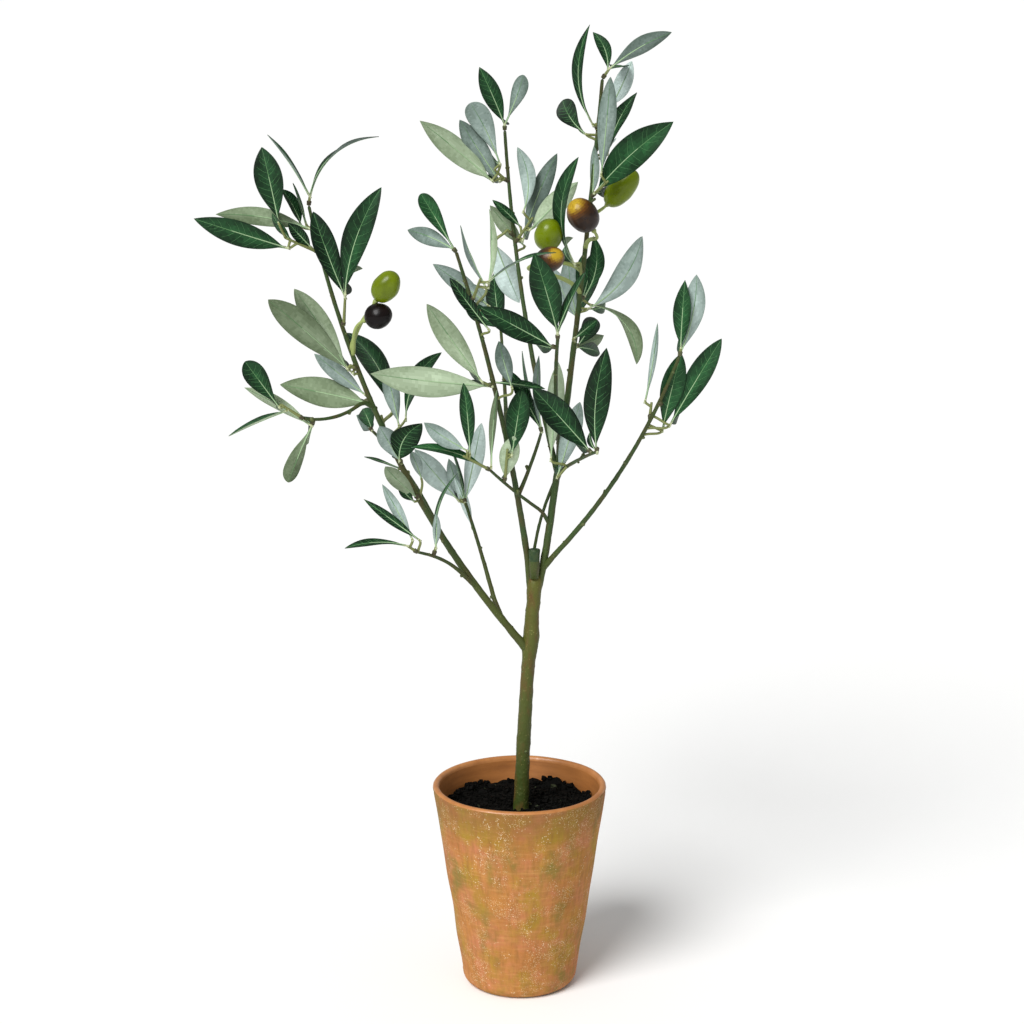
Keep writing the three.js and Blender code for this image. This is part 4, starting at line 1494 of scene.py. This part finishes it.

# %% [markdown]
# ## The olives
# An olive's place is told from a limb, in a share of the limb's length, a bearing, a rise and a distance,
# so that it keeps its place among the leaves.

# %% Olives
# each olive's limb, the shares along it of its stem's root and of the point it is measured from, its
# bearing, rise and distance from there, its length and width, its lean to the right, its paint and the side
# of its painted highlight
OLIVES = [
    ("left_bough", 0.71, 0.81, 335, 17, 37, 21, 15.5, 35, OLIVE_GREEN, None),
    ("left_bough", 0.70, 0.76, 331, 17, 27, 17, 15, 70, OLIVE_BLACK, None),
    ("leader", 0.67, 0.74, 262, 3, 36, 22, 18, -35, OLIVE_BRONZE, (-0.6, -0.5, 0.75)),
    ("leader", 0.62, 0.69, 212, 7, 28, 20, 17, 10, OLIVE_GREEN, None),
    ("leader", 0.58, 0.65, 241, 5, 45, 18, 15, 70, OLIVE_BRONZE, (0.5, -0.75, 0.5)),
    ("leader", 0.72, 0.79, 15, -4, 19, 28, 16, 40, OLIVE_GREEN, None),
]
SEATED = 0.97


def point_of(limb, share):
    """The point of a limb's line at a share of its length."""
    return limb_paths[limb][int(share * (LIMB_STEPS - 1))]


olive_sets, olive_looks, roots, ends, axes = [], [], [], [], []
for limb, root, at, bearing, rise, distance, length, width, lean, look, highlight_side in OLIVES:
    bearing, rise, lean = (math.radians(angle) for angle in (bearing, rise, lean))
    way = np.array([math.cos(rise) * math.cos(bearing), math.cos(rise) * math.sin(bearing), math.sin(rise)])
    middle = point_of(limb, at) + way * distance * MM
    axis = unit(np.array([math.sin(lean), -0.25, math.cos(lean)]))
    points, groups, marks = skins(olive_rings(middle, axis, length * MM, width * MM))
    olive_sets.append((points, groups, marks))
    olive_looks.append([bronze_highlight_looks(points, group, middle, highlight_side) if look == OLIVE_BRONZE
                        else np.full(len(group), look) for group in groups])
    roots.append(point_of(limb, root))
    ends.append(middle - axis * length / 2 * MM * SEATED)
    axes.append(axis)
looks = np.concatenate([looks[kind] for kind in (0, 1) for looks in olive_looks])
piece("olives", "olive", olive_finishes, *joined(olive_sets), looks=looks)

# %% [markdown]
# ## The olives' stems
# Each olive hangs on a green stem that rises from its limb, bends over and meets the olive along the
# olive's own axis. It thins on the way, and a small button covers its end where it is pushed into the
# olive.

# %% Olive stems
STEM_STEPS = 24
BUTTON_STEPS = 2
BUTTON_RADIUS = 1.6 * MM
RISING = np.array([0, 0, 0.8])
stem_finish = finish("olive_stem", paint(146, 160, 92), STALK_ROUGH, 0.4, 1200, 0.1 * MM)
roots, ends, axes = np.array(roots), np.array(ends), np.array(axes)
stem_paths = smooth_lines(roots, unit(unit(ends - roots) + RISING), ends, axes, STEM_STEPS)
stem_radii = np.linspace(1.5, 0.8, STEM_STEPS) * MM
stem_radii[-BUTTON_STEPS:] = BUTTON_RADIUS
points, faces, _ = skins(pipes(stem_paths, stem_radii, 10))
piece("olive_stems", "stalk", [stem_finish], points, faces)
